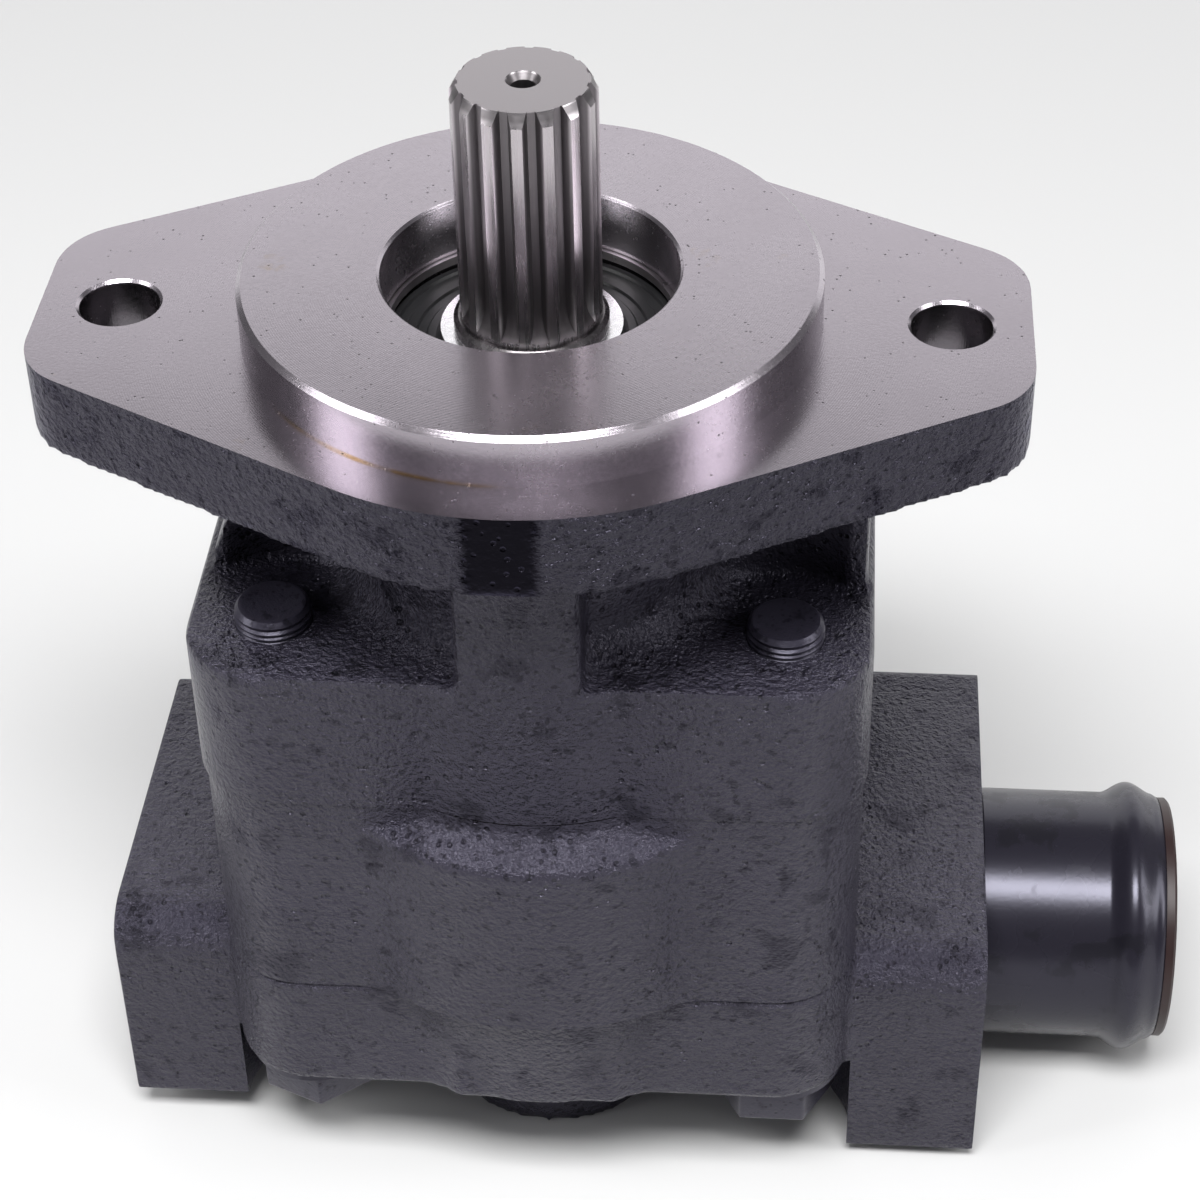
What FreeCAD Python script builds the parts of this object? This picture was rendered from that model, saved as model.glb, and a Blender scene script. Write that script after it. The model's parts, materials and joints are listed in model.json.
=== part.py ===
import FreeCAD, Part
import math
import os
from FreeCAD import Vector

os.makedirs("parts", exist_ok=True)

# External gear pump with an SAE "B" two-bolt flange, a 15-tooth splined shaft and side ports.
# All sizes are in millimetres. The origin is where the shaft axis meets the mounting face of the
# flange. +Z runs up the shaft, +X points along the inlet tube and -Y is the front of the pump.

# Mounting flange and pilot (SAE J744 size B)
PILOT_RADIUS = 50.8
PILOT_HEIGHT = 9.7
PILOT_CHAMFER = 0.9
FLANGE_THICKNESS = 16.0
FLANGE_DISC_RADIUS = 59.5
FLANGE_BOLT_OFFSET = 73.0
FLANGE_HOLE_RADIUS = 7.15
FLANGE_EAR_RADIUS = 14.0
FLANGE_EAR_OFFSET = 12.25
FLANGE_EDGE_ROUND = 2.5

# Gear pair
CENTRE_DISTANCE = 50.8
GEAR_TEETH = 12
GEAR_MODULE = CENTRE_DISTANCE / GEAR_TEETH
GEAR_PRESSURE_ANGLE = 28.0
GEAR_ADDENDUM = 0.9
GEAR_DEDENDUM = 1.15
GEAR_BACKLASH = 0.3
CHAMBER_RADIUS = 29.5
JOURNAL_RADIUS = 16.0

# Splined shaft end (15 teeth, 16/32 pitch, 30 degree flanks)
SPLINE_TEETH = 15
SPLINE_PITCH_RADIUS = 25.4 * SPLINE_TEETH / 16.0 / 2.0
SPLINE_TIP_RADIUS = 12.49
SPLINE_ROOT_RADIUS = 10.84
SPLINE_TOP = 46.0
SPLINE_CHAMFER_LENGTH = 2.4
SPLINE_END_RADIUS = 11.2
SPLINE_FULL_DEPTH_FROM = 8.0
SPLINE_RUNOUT_TO = 1.6
COLLAR_RADIUS = 13.65
COLLAR_TOP = 0.6
SHOULDER_Z = -1.8
CENTRE_HOLE_RADIUS = 2.1
CENTRE_HOLE_DEPTH = 14.0
CENTRE_SINK_RADIUS = 3.0
CENTRE_SINK_DEPTH = 1.2

# Levels of the stack, from the flange down
FLANGE_BOTTOM = -FLANGE_THICKNESS
SHELF_Z = -51.0
HOUSING_TOP = -81.0
PLATE_THICKNESS = 5.0
GEAR_TOP = HOUSING_TOP - PLATE_THICKNESS - 0.1
HOUSING_BOTTOM = -128.5
GEAR_BOTTOM = HOUSING_BOTTOM + PLATE_THICKNESS + 0.1
END_COVER_BOTTOM = -155.8
BOSS_BOTTOM = -184.0
BUSHING_LENGTH_FRONT = 30.0
BUSHING_LENGTH_REAR = 22.0

# Outline of the bodies, symmetric about the line midway between the shafts
MID_Y = CENTRE_DISTANCE / 2.0
COVER_HALF_WIDTH = 61.9
COVER_HALF_DEPTH = MID_Y + 41.0
HOUSING_HALF_WIDTH = 61.2
HOUSING_HALF_DEPTH = MID_Y + 40.6
CORNER_RADIUS = 16.0
LOBE_RADIUS = 50.0
LOBE_TOP = -84.0
LOBE_TOP_ROUND = 4.0
LOBE_BLEND_RADIUS = 14.0
END_LOBE_RADIUS = 48.8
FRONT_BULGE_RADIUS = 44.3
NECK_RADIUS = 34.0
NECK_FILLET = 8.0
RIB_HALF_WIDTH = 11.0
BEARING_BOSS_RADIUS = 26.0
BEARING_BOSS_TOP = -40.0
SHELF_EDGE_ROUND = 2.6
REAR_BLOCK_FRONT = -10.0
REAR_BLOCK_BACK = 58.5
REAR_BLOCK_RIGHT = 60.5
REAR_BLOCK_LEFT = -59.0
REAR_BLOCK_LEFT_TOP = -46.0
SEAM_CHAMFER = 0.6

# Through-bolts (M14), washers and dowels
BOLT_RADIUS = 7.0
BOLT_X = 46.0
BOLT_FRONT_Y = -24.5
BOLT_POSITIONS = [(sx * BOLT_X, y) for y in (BOLT_FRONT_Y, CENTRE_DISTANCE - BOLT_FRONT_Y) for sx in (-1, 1)]
BOLT_TIP_Z = -47.0
BOLT_HEAD_FLATS = 22.0
BOLT_HEAD_HEIGHT = 8.8
BOLT_RELIEF_RADIUS = 18.0
WASHER_RADIUS = 14.0
WASHER_THICKNESS = 3.0
DOWEL_RADIUS = 4.0
DOWEL_LENGTH = 16.0
DOWEL_POSITIONS = [(-50.0, 4.0), (50.0, CENTRE_DISTANCE - 4.0)]

# Bearings, plates and seals
BUSHING_RADIUS = 19.0
BUSHING_BORE = 16.05
FIT = 0.02
PLATE_RADIUS = 29.35
PLATE_SHAFT_HOLE = 16.1
PRESSURE_SEAL_OUTER = 27.6
PRESSURE_SEAL_INNER = 25.8
BACKUP_SEAL_INNER = 24.6
PLATE_GROOVE_DEPTH = 1.6
BODY_SEAL_OUTER = 37.7
BODY_SEAL_INNER = 34.9
BODY_SEAL_DEPTH = 2.4
SEAL_BORE_RADIUS = 26.05
SEAL_TOP = -4.0
SEAL_BOTTOM = -12.0
SEAL_CASE_OUTER = 25.05
SEAL_CASE_INNER = 19.25
SEAL_CASE_TOP = 1.85
SEAL_CASE_WALL = 1.0
SHAFT_CAVITY_RADIUS = 18.0
RING_GROOVE_RADIUS = 27.3
RING_TOP = -1.3
RING_THICKNESS = 1.6

# Ports: a two-inch beaded tube on the inlet side, a one-inch flange pad on the outlet side
POCKET_X = 22.0
POCKET_RADIUS = 9.5
PORT_EDGE_ROUND = 8.0
INLET_Y = 14.5
INLET_Z = -155.5
INLET_FACE_X = 87.0
INLET_PASSAGE_RADIUS = 20.0
TUBE_RADIUS = 25.4
TUBE_BORE = 22.9
TUBE_END_X = 123.8
TUBE_PLUG_RIM_RADIUS = 24.7
TUBE_PLUG_RIM_THICKNESS = 2.0
PLUG_DEPTH = 12.0
PLUG_WALL = 1.6
SPIGOT_RADIUS = 23.4
SPIGOT_LENGTH = 14.0
BEAD_RADIUS = 27.7
BEAD_CENTRE_X = 117.4
BEAD_HALF_WIDTH = 4.6
OUTLET_Y = 11.25
OUTLET_Z = -153.1
OUTLET_FACE_X = -85.5
OUTLET_PASSAGE_RADIUS = 12.7
PAD_BOLT_SPACING_Y = 52.4
PAD_BOLT_SPACING_Z = 26.2
PAD_HOLE_RADIUS = 4.25
PAD_HOLE_DEPTH = 18.0
INLET_BLOCK_FRONT = -29.0
INLET_BLOCK_BACK = 59.0
INLET_BLOCK_BOTTOM = -181.5
OUTLET_BLOCK_FRONT = -26.0
OUTLET_BLOCK_BACK = 48.5
OUTLET_BLOCK_BOTTOM = -177.7
BRIDGE_FRONT = -9.0
BRIDGE_BACK = 46.0
BRIDGE_BOTTOM = -177.0
END_BOSS_RADIUS = 24.0


def box(x_low, x_high, y_low, y_high, z_low, z_high):
    return Part.makeBox(x_high - x_low, y_high - y_low, z_high - z_low, Vector(x_low, y_low, z_low))


def cylinder(radius, z_low, z_high, x=0.0, y=0.0):
    return Part.makeCylinder(radius, z_high - z_low, Vector(x, y, z_low))


def cylinder_x(radius, x_low, x_high, y, z):
    return Part.makeCylinder(radius, x_high - x_low, Vector(x_low, y, z), Vector(1, 0, 0))


def union(shapes):
    return shapes[0].fuse(shapes[1:]).removeSplitter()


def turned(edges, x=0.0, y=0.0):
    """Solid of revolution about the vertical line through (x, y) from a closed profile of edges."""
    solid = Part.Face(Part.Wire(edges)).revolve(Vector(0, 0, 0), Vector(0, 0, 1), 360)
    solid = Part.makeSolid(solid.Shells[0])
    if solid.Volume < 0:
        solid.reverse()
    solid.translate(Vector(x, y, 0))
    return solid


def lines(points):
    """Closed loop of straight edges through (radius, height) points."""
    corners = [Vector(radius, 0, height) for radius, height in points]
    return [Part.makeLine(start, end) for start, end in zip(corners, corners[1:] + corners[:1])]


def turned_about_x(edges, y, z):
    """Solid of revolution whose heights run along +X, about the line at (y, z)."""
    solid = turned(edges)
    solid.rotate(Vector(0, 0, 0), Vector(0, 1, 0), 90)
    solid.translate(Vector(0, y, z))
    return solid


def rounded(shape, radius, wanted):
    return shape.makeFillet(radius, [edge for edge in shape.Edges if wanted(edge)])


def chamfered(shape, size, wanted):
    return shape.makeChamfer(size, [edge for edge in shape.Edges if wanted(edge)])


def at_level(z):
    return lambda edge: abs(edge.BoundBox.ZMin - z) < 0.01 and abs(edge.BoundBox.ZMax - z) < 0.01


def upright(edge):
    return edge.BoundBox.XLength + edge.BoundBox.YLength < 0.01


def outline_block(half_width, half_depth, z_low, z_high):
    """Block with four rounded upright corners, centred between the two shafts."""
    block = box(-half_width, half_width, MID_Y - half_depth, MID_Y + half_depth, z_low, z_high)
    return rounded(block, CORNER_RADIUS, upright)


def twin(radius, z_low, z_high):
    """Two overlapping discs, one about each shaft."""
    pair = [cylinder(radius, z_low, z_high, 0, y) for y in (0.0, CENTRE_DISTANCE)]
    return union(pair)


def stadium(radius, z_low, z_high):
    """Two discs and the straight band that joins them."""
    band = box(-radius, radius, 0.0, CENTRE_DISTANCE, z_low, z_high)
    return union([twin(radius, z_low, z_high), band])


def bolt_holes(z_low, z_high):
    return [cylinder(BOLT_RADIUS + FIT, z_low, z_high, x, y) for x, y in BOLT_POSITIONS]


def dowel_holes(joint_z):
    half = DOWEL_LENGTH / 2.0
    return [cylinder(DOWEL_RADIUS + FIT, joint_z - half, joint_z + half, x, y) for x, y in DOWEL_POSITIONS]


def involute(angle):
    return math.tan(angle) - angle


def tooth_half_angle(radius, teeth, pitch_radius, pressure_angle, backlash):
    base_radius = pitch_radius * math.cos(pressure_angle)
    at_radius = math.acos(min(1.0, base_radius / max(radius, base_radius)))
    at_pitch = math.pi / (2 * teeth) - backlash / (4 * pitch_radius)
    return at_pitch + involute(pressure_angle) - involute(at_radius)


def toothed_face(teeth, pitch_radius, pressure_angle_deg, tip_radius, root_radius, backlash, first_tooth):
    """Flat outline of an involute gear or spline in the XY plane."""
    pressure_angle = math.radians(pressure_angle_deg)
    base_radius = pitch_radius * math.cos(pressure_angle)
    flank_start = max(root_radius, base_radius)
    flank_steps = 6
    flank = [flank_start + (tip_radius - flank_start) * step / flank_steps for step in range(flank_steps + 1)]

    def point(radius, angle):
        return Vector(radius * math.cos(angle), radius * math.sin(angle), 0)

    def half_angle(radius):
        return tooth_half_angle(radius, teeth, pitch_radius, pressure_angle, backlash)

    edges = []
    pitch_angle = 2 * math.pi / teeth
    for tooth in range(teeth):
        middle = math.radians(first_tooth) + tooth * pitch_angle
        rising = [point(radius, middle - half_angle(radius)) for radius in flank]
        falling = [point(radius, middle + half_angle(radius)) for radius in reversed(flank)]
        foot = half_angle(flank_start)
        if root_radius < flank_start:
            edges.append(Part.makeLine(point(root_radius, middle - foot), rising[0]))
        edges.append(Part.BSplineCurve())
        edges[-1].interpolate(rising)
        edges.append(Part.Arc(rising[-1], point(tip_radius, middle), falling[0]))
        edges.append(Part.BSplineCurve())
        edges[-1].interpolate(falling)
        if root_radius < flank_start:
            edges.append(Part.makeLine(falling[-1], point(root_radius, middle + foot)))
        root_start = point(root_radius, middle + foot)
        root_end = point(root_radius, middle + pitch_angle - foot)
        edges.append(Part.Arc(root_start, point(root_radius, middle + pitch_angle / 2), root_end))
    shapes = [edge if isinstance(edge, Part.Shape) else edge.toShape() for edge in edges]
    return Part.Face(Part.Wire(shapes))


def prism(face, z_low, z_high):
    solid = face.extrude(Vector(0, 0, z_high - z_low))
    solid.translate(Vector(0, 0, z_low))
    return solid


def flange_plate():
    """Two-bolt flange: a disc joined by tangent lines to rounded ears with flat ends."""
    reach = math.hypot(FLANGE_BOLT_OFFSET, FLANGE_EAR_OFFSET)
    lean = math.atan2(FLANGE_EAR_OFFSET, FLANGE_BOLT_OFFSET)
    tangent = lean + math.acos((FLANGE_DISC_RADIUS - FLANGE_EAR_RADIUS) / reach)

    def arc(centre_x, centre_y, radius, start, end):
        angles = (start, (start + end) / 2, end)
        points = [Vector(centre_x + radius * math.cos(a), centre_y + radius * math.sin(a), 0) for a in angles]
        return Part.Arc(*points).toShape()

    ear_arcs = [(1, 1, 0.0, tangent), (-1, 1, math.pi - tangent, math.pi),
                (-1, -1, math.pi, math.pi + tangent), (1, -1, -tangent, 0.0)]
    ears = [arc(side_x * FLANGE_BOLT_OFFSET, side_y * FLANGE_EAR_OFFSET, FLANGE_EAR_RADIUS, start, end)
            for side_x, side_y, start, end in ear_arcs]
    back = arc(0, 0, FLANGE_DISC_RADIUS, tangent, math.pi - tangent)
    front = arc(0, 0, FLANGE_DISC_RADIUS, math.pi + tangent, 2 * math.pi - tangent)
    right_back, left_back, left_front, right_front = ears
    loop = [right_back, back, left_back, left_front, front, right_front]
    edges = []
    for piece, following in zip(loop, loop[1:] + loop[:1]):
        edges.append(piece)
        start = piece.Vertexes[-1].Point
        end = following.Vertexes[0].Point
        if start.distanceToPoint(end) > 0.001:
            edges.append(Part.makeLine(start, end))
    plate = prism(Part.Face(Part.Wire(edges)), FLANGE_BOTTOM, 0.0)
    return rounded(plate, FLANGE_EDGE_ROUND, at_level(FLANGE_BOTTOM))


def shaft_end_cover():
    flange = flange_plate()
    pilot_edge = PILOT_RADIUS - PILOT_CHAMFER
    pilot_shoulder = PILOT_HEIGHT - PILOT_CHAMFER
    pilot = turned(lines([(0, FLANGE_BOTTOM), (PILOT_RADIUS, FLANGE_BOTTOM), (PILOT_RADIUS, pilot_shoulder),
                          (pilot_edge, PILOT_HEIGHT), (0, PILOT_HEIGHT)]))
    body = outline_block(COVER_HALF_WIDTH, COVER_HALF_DEPTH, HOUSING_TOP, SHELF_Z)
    body = rounded(body, SHELF_EDGE_ROUND, at_level(SHELF_Z))

    # The neck and its ribs carry the flange, and the block behind holds the driven gear's bearing.
    neck = cylinder(NECK_RADIUS, SHELF_Z - 5, FLANGE_BOTTOM + 1)
    flare_top = SHELF_Z + NECK_FILLET
    flare = turned([
        Part.makeLine(Vector(0, 0, SHELF_Z - 5), Vector(NECK_RADIUS + NECK_FILLET, 0, SHELF_Z - 5)),
        Part.makeLine(Vector(NECK_RADIUS + NECK_FILLET, 0, SHELF_Z - 5),
                      Vector(NECK_RADIUS + NECK_FILLET, 0, SHELF_Z)),
        Part.Arc(Vector(NECK_RADIUS + NECK_FILLET, 0, SHELF_Z),
                 Vector(NECK_RADIUS + NECK_FILLET * (1 - math.sqrt(0.5)), 0,
                        SHELF_Z + NECK_FILLET * (1 - math.sqrt(0.5))),
                 Vector(NECK_RADIUS, 0, flare_top)).toShape(),
        Part.makeLine(Vector(NECK_RADIUS, 0, flare_top), Vector(0, 0, flare_top)),
        Part.makeLine(Vector(0, 0, flare_top), Vector(0, 0, SHELF_Z - 5)),
    ])
    bulge = cylinder(FRONT_BULGE_RADIUS, HOUSING_TOP, SHELF_Z)
    rib = cylinder(FRONT_BULGE_RADIUS, HOUSING_TOP, FLANGE_BOTTOM + 1).common(
        box(-RIB_HALF_WIDTH, RIB_HALF_WIDTH, -FRONT_BULGE_RADIUS, 0, HOUSING_TOP, FLANGE_BOTTOM + 1))

    profile = [(REAR_BLOCK_LEFT, SHELF_Z - 5), (REAR_BLOCK_RIGHT, SHELF_Z - 5),
               (REAR_BLOCK_RIGHT, FLANGE_BOTTOM + 1), (REAR_BLOCK_LEFT_TOP, FLANGE_BOTTOM + 1),
               (REAR_BLOCK_LEFT, SHELF_Z + 4)]
    corners = [Vector(x, REAR_BLOCK_FRONT, z) for x, z in profile]
    block = Part.Face(Part.makePolygon(corners + corners[:1])).extrude(
        Vector(0, REAR_BLOCK_BACK - REAR_BLOCK_FRONT, 0))
    reliefs = [cylinder(BOLT_RELIEF_RADIUS, SHELF_Z, FLANGE_BOTTOM, x, y) for x, y in BOLT_POSITIONS]
    block = block.cut(reliefs)
    boss = cylinder(BEARING_BOSS_RADIUS, SHELF_Z - 5, BEARING_BOSS_TOP, 0, CENTRE_DISTANCE)
    boss = rounded(boss, 3.0, at_level(BEARING_BOSS_TOP))
    casting = union([flange, pilot, body, bulge, neck, flare, rib, block, boss])

    bushing_top = HOUSING_TOP + BUSHING_LENGTH_FRONT
    ring_bottom = RING_TOP - RING_THICKNESS
    mouth_chamfer = 0.5
    holes = [
        cylinder(SEAL_BORE_RADIUS, SEAL_BOTTOM, PILOT_HEIGHT),
        Part.makeCone(SEAL_BORE_RADIUS, SEAL_BORE_RADIUS + mouth_chamfer, mouth_chamfer,
                      Vector(0, 0, PILOT_HEIGHT - mouth_chamfer)),
        cylinder(RING_GROOVE_RADIUS, ring_bottom - 0.1, RING_TOP + 0.1),
        cylinder(SHAFT_CAVITY_RADIUS, bushing_top, SEAL_BOTTOM),
        cylinder(BUSHING_RADIUS + FIT, HOUSING_TOP, bushing_top),
        cylinder(BUSHING_RADIUS + FIT, HOUSING_TOP, bushing_top, 0, CENTRE_DISTANCE),
        stadium(BODY_SEAL_OUTER + 0.1, HOUSING_TOP, HOUSING_TOP + BODY_SEAL_DEPTH).cut(
            stadium(BODY_SEAL_INNER - 0.1, HOUSING_TOP, HOUSING_TOP + BODY_SEAL_DEPTH)),
    ]
    for side in (-1, 1):
        x = side * FLANGE_BOLT_OFFSET
        holes.append(cylinder(FLANGE_HOLE_RADIUS, FLANGE_BOTTOM, 0, x))
        holes.append(Part.makeCone(FLANGE_HOLE_RADIUS, FLANGE_HOLE_RADIUS + mouth_chamfer, mouth_chamfer,
                                   Vector(x, 0, -mouth_chamfer)))
    return casting.cut(holes + bolt_holes(HOUSING_TOP, SHELF_Z) + dowel_holes(HOUSING_TOP))


def lobe_blends(radius, z_low, z_high):
    """Wedges that blend both sides of the two lobes into the flat faces in concave curves."""
    drop = HOUSING_HALF_DEPTH - MID_Y + LOBE_BLEND_RADIUS
    centre_x = math.sqrt((radius + LOBE_BLEND_RADIUS) ** 2 - drop ** 2)
    front = drop - LOBE_BLEND_RADIUS
    wedges = []
    for side in (-1, 1):
        edges_x = sorted((side * (centre_x - LOBE_BLEND_RADIUS), side * centre_x))
        for y_near, y_far, centre_y in ((-front + 1, -front - 3, -drop),
                                        (CENTRE_DISTANCE + front - 1, CENTRE_DISTANCE + front + 3,
                                         CENTRE_DISTANCE + drop)):
            wedge = box(*edges_x, min(y_near, y_far), max(y_near, y_far), z_low, z_high)
            wedges.append(wedge.cut(cylinder(LOBE_BLEND_RADIUS, z_low, z_high, side * centre_x, centre_y)))
    return wedges


def gear_housing():
    block = outline_block(HOUSING_HALF_WIDTH, HOUSING_HALF_DEPTH, HOUSING_BOTTOM, HOUSING_TOP)
    block = chamfered(block, 0.4, at_level(HOUSING_TOP))
    bulge = cylinder(FRONT_BULGE_RADIUS, LOBE_TOP - 5, HOUSING_TOP)
    lobes = []
    for y in (0.0, CENTRE_DISTANCE):
        lobe = cylinder(LOBE_RADIUS, HOUSING_BOTTOM, LOBE_TOP, 0, y)
        lobes.append(rounded(lobe, LOBE_TOP_ROUND, at_level(LOBE_TOP)))
    blends = lobe_blends(LOBE_RADIUS, HOUSING_BOTTOM, LOBE_TOP - LOBE_TOP_ROUND)
    casting = union([block, bulge] + lobes + blends)
    casting = chamfered(casting, SEAM_CHAMFER, at_level(HOUSING_BOTTOM))
    pockets = [cylinder(POCKET_RADIUS, HOUSING_BOTTOM, HOUSING_TOP, side * POCKET_X, MID_Y)
               for side in (-1, 1)]
    chamber = union([twin(CHAMBER_RADIUS, HOUSING_BOTTOM, HOUSING_TOP)] + pockets)
    holes = bolt_holes(HOUSING_BOTTOM, HOUSING_TOP) + dowel_holes(HOUSING_TOP) + dowel_holes(HOUSING_BOTTOM)
    return casting.cut([chamber] + holes)


def port_block(x_low, x_high, y_low, y_high, z_low):
    """Block for one port, flush with the joint face and heavily rounded along its front top edge."""
    block = box(x_low, x_high, y_low, y_high, z_low, HOUSING_BOTTOM)
    block = rounded(block, PORT_EDGE_ROUND, lambda edge: at_level(HOUSING_BOTTOM)(edge)
                    and edge.BoundBox.YMax < y_low + 0.01)
    return rounded(block, 1.2, lambda edge: at_level(z_low)(edge))


def port_end_cover():
    plate = outline_block(HOUSING_HALF_WIDTH, HOUSING_HALF_DEPTH, END_COVER_BOTTOM, HOUSING_BOTTOM)
    lobes = [cylinder(END_LOBE_RADIUS, END_COVER_BOTTOM, HOUSING_BOTTOM, 0, y)
             for y in (0.0, CENTRE_DISTANCE)]
    plate = union([plate] + lobes + lobe_blends(END_LOBE_RADIUS, END_COVER_BOTTOM, HOUSING_BOTTOM))
    plate = chamfered(plate, SEAM_CHAMFER, at_level(HOUSING_BOTTOM))
    plate = rounded(plate, 2.0, at_level(END_COVER_BOTTOM))
    overlap_x = HOUSING_HALF_WIDTH - 3.2
    inlet_block = port_block(overlap_x, INLET_FACE_X, INLET_BLOCK_FRONT, INLET_BLOCK_BACK, INLET_BLOCK_BOTTOM)
    outlet_block = port_block(OUTLET_FACE_X, -overlap_x, OUTLET_BLOCK_FRONT, OUTLET_BLOCK_BACK,
                              OUTLET_BLOCK_BOTTOM)
    bridge = box(-overlap_x - 2, overlap_x + 2, BRIDGE_FRONT, BRIDGE_BACK,
                 BRIDGE_BOTTOM, END_COVER_BOTTOM + 2)
    reliefs = [cylinder(WASHER_RADIUS + 2.0, BOSS_BOTTOM, END_COVER_BOTTOM, x, y) for x, y in BOLT_POSITIONS]
    bosses = []
    for y in (0.0, CENTRE_DISTANCE):
        boss = cylinder(END_BOSS_RADIUS, BOSS_BOTTOM, END_COVER_BOTTOM + 2, 0, y)
        bosses.append(rounded(boss, 2.0, at_level(BOSS_BOTTOM)))
    casting = union([plate, inlet_block, outlet_block, bridge] + bosses).cut(reliefs)

    bushing_bottom = HOUSING_BOTTOM - BUSHING_LENGTH_REAR
    passage_end_x = POCKET_X + 2.0
    holes = [
        cylinder(BUSHING_RADIUS + FIT, bushing_bottom, HOUSING_BOTTOM),
        cylinder(BUSHING_RADIUS + FIT, bushing_bottom, HOUSING_BOTTOM, 0, CENTRE_DISTANCE),
        cylinder(POCKET_RADIUS, INLET_Z, HOUSING_BOTTOM, POCKET_X, MID_Y),
        cylinder(POCKET_RADIUS, OUTLET_Z, HOUSING_BOTTOM, -POCKET_X, MID_Y),
        cylinder_x(INLET_PASSAGE_RADIUS, passage_end_x, INLET_FACE_X, INLET_Y, INLET_Z),
        cylinder_x(SPIGOT_RADIUS + 0.05, INLET_FACE_X - SPIGOT_LENGTH, INLET_FACE_X, INLET_Y, INLET_Z),
        cylinder_x(OUTLET_PASSAGE_RADIUS, OUTLET_FACE_X, -passage_end_x, OUTLET_Y, OUTLET_Z),
        stadium(BODY_SEAL_OUTER + 0.1, HOUSING_BOTTOM - BODY_SEAL_DEPTH, HOUSING_BOTTOM).cut(
            stadium(BODY_SEAL_INNER - 0.1, HOUSING_BOTTOM - BODY_SEAL_DEPTH, HOUSING_BOTTOM)),
    ]
    for side_y in (-1, 1):
        for side_z in (-1, 1):
            y = OUTLET_Y + side_y * PAD_BOLT_SPACING_Y / 2
            z = OUTLET_Z + side_z * PAD_BOLT_SPACING_Z / 2
            holes.append(cylinder_x(PAD_HOLE_RADIUS, OUTLET_FACE_X, OUTLET_FACE_X + PAD_HOLE_DEPTH, y, z))
    return casting.cut(holes + bolt_holes(END_COVER_BOTTOM, HOUSING_BOTTOM) + dowel_holes(HOUSING_BOTTOM))


def through_bolts():
    head_top = END_COVER_BOTTOM - WASHER_THICKNESS
    head_bottom = head_top - BOLT_HEAD_HEIGHT
    corner_radius = BOLT_HEAD_FLATS / math.sqrt(3)
    tip_chamfer = 1.0
    head_chamfer = 1.1
    bolts = []
    for x, y in BOLT_POSITIONS:
        corners = [Vector(x + corner_radius * math.cos(math.radians(60 * k)),
                          y + corner_radius * math.sin(math.radians(60 * k)), head_bottom) for k in range(7)]
        head = Part.Face(Part.makePolygon(corners)).extrude(Vector(0, 0, BOLT_HEAD_HEIGHT))
        envelope = turned(lines([(0, head_bottom), (BOLT_HEAD_FLATS / 2 - 0.3, head_bottom),
                                 (corner_radius + 0.3, head_bottom + head_chamfer),
                                 (corner_radius + 0.3, head_top), (0, head_top)]), x, y)
        shank = turned(lines([(0, head_top - 1), (BOLT_RADIUS, head_top - 1),
                              (BOLT_RADIUS, BOLT_TIP_Z - tip_chamfer),
                              (BOLT_RADIUS - tip_chamfer, BOLT_TIP_Z), (0, BOLT_TIP_Z)]), x, y)
        bolts.append(union([head.common(envelope), shank]))
    return Part.makeCompound(bolts)


def bolt_washers():
    washers = []
    for x, y in BOLT_POSITIONS:
        disc = cylinder(WASHER_RADIUS, END_COVER_BOTTOM - WASHER_THICKNESS, END_COVER_BOTTOM, x, y)
        washers.append(disc.cut(cylinder(BOLT_RADIUS + 0.5, END_COVER_BOTTOM - WASHER_THICKNESS,
                                         END_COVER_BOTTOM, x, y)))
    return Part.makeCompound(washers)


def housing_dowels():
    dowels = []
    for joint_z in (HOUSING_TOP, HOUSING_BOTTOM):
        for x, y in DOWEL_POSITIONS:
            dowels.append(cylinder(DOWEL_RADIUS, joint_z - DOWEL_LENGTH / 2,
                                   joint_z + DOWEL_LENGTH / 2, x, y))
    return Part.makeCompound([chamfered(dowel, 0.6, lambda edge: True) for dowel in dowels])


def body_seal(z_low, z_high):
    return stadium(BODY_SEAL_OUTER, z_low, z_high).cut(stadium(BODY_SEAL_INNER, z_low, z_high))


def bushing(z_low, z_high, y):
    sleeve = cylinder(BUSHING_RADIUS, z_low, z_high, 0, y)
    oil_groove = cylinder(1.2, z_low, z_high, BUSHING_BORE, y)
    return sleeve.cut([cylinder(BUSHING_BORE, z_low, z_high, 0, y), oil_groove])


def thrust_plate(z_low, groove_low):
    """Figure-eight plate beside the gears, with the pressure seal groove in its outer face."""
    plate = twin(PLATE_RADIUS, z_low, z_low + PLATE_THICKNESS)
    groove = twin(PRESSURE_SEAL_OUTER + 0.1, groove_low, groove_low + PLATE_GROOVE_DEPTH).cut(
        twin(BACKUP_SEAL_INNER - 0.1, groove_low, groove_low + PLATE_GROOVE_DEPTH))
    shaft_holes = [cylinder(PLATE_SHAFT_HOLE, z_low, z_low + PLATE_THICKNESS, 0, y)
                   for y in (0.0, CENTRE_DISTANCE)]
    return plate.cut([groove] + shaft_holes)


def plate_seal(outer, inner, z_low):
    return twin(outer, z_low, z_low + PLATE_GROOVE_DEPTH).cut(twin(inner, z_low, z_low + PLATE_GROOVE_DEPTH))


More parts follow.
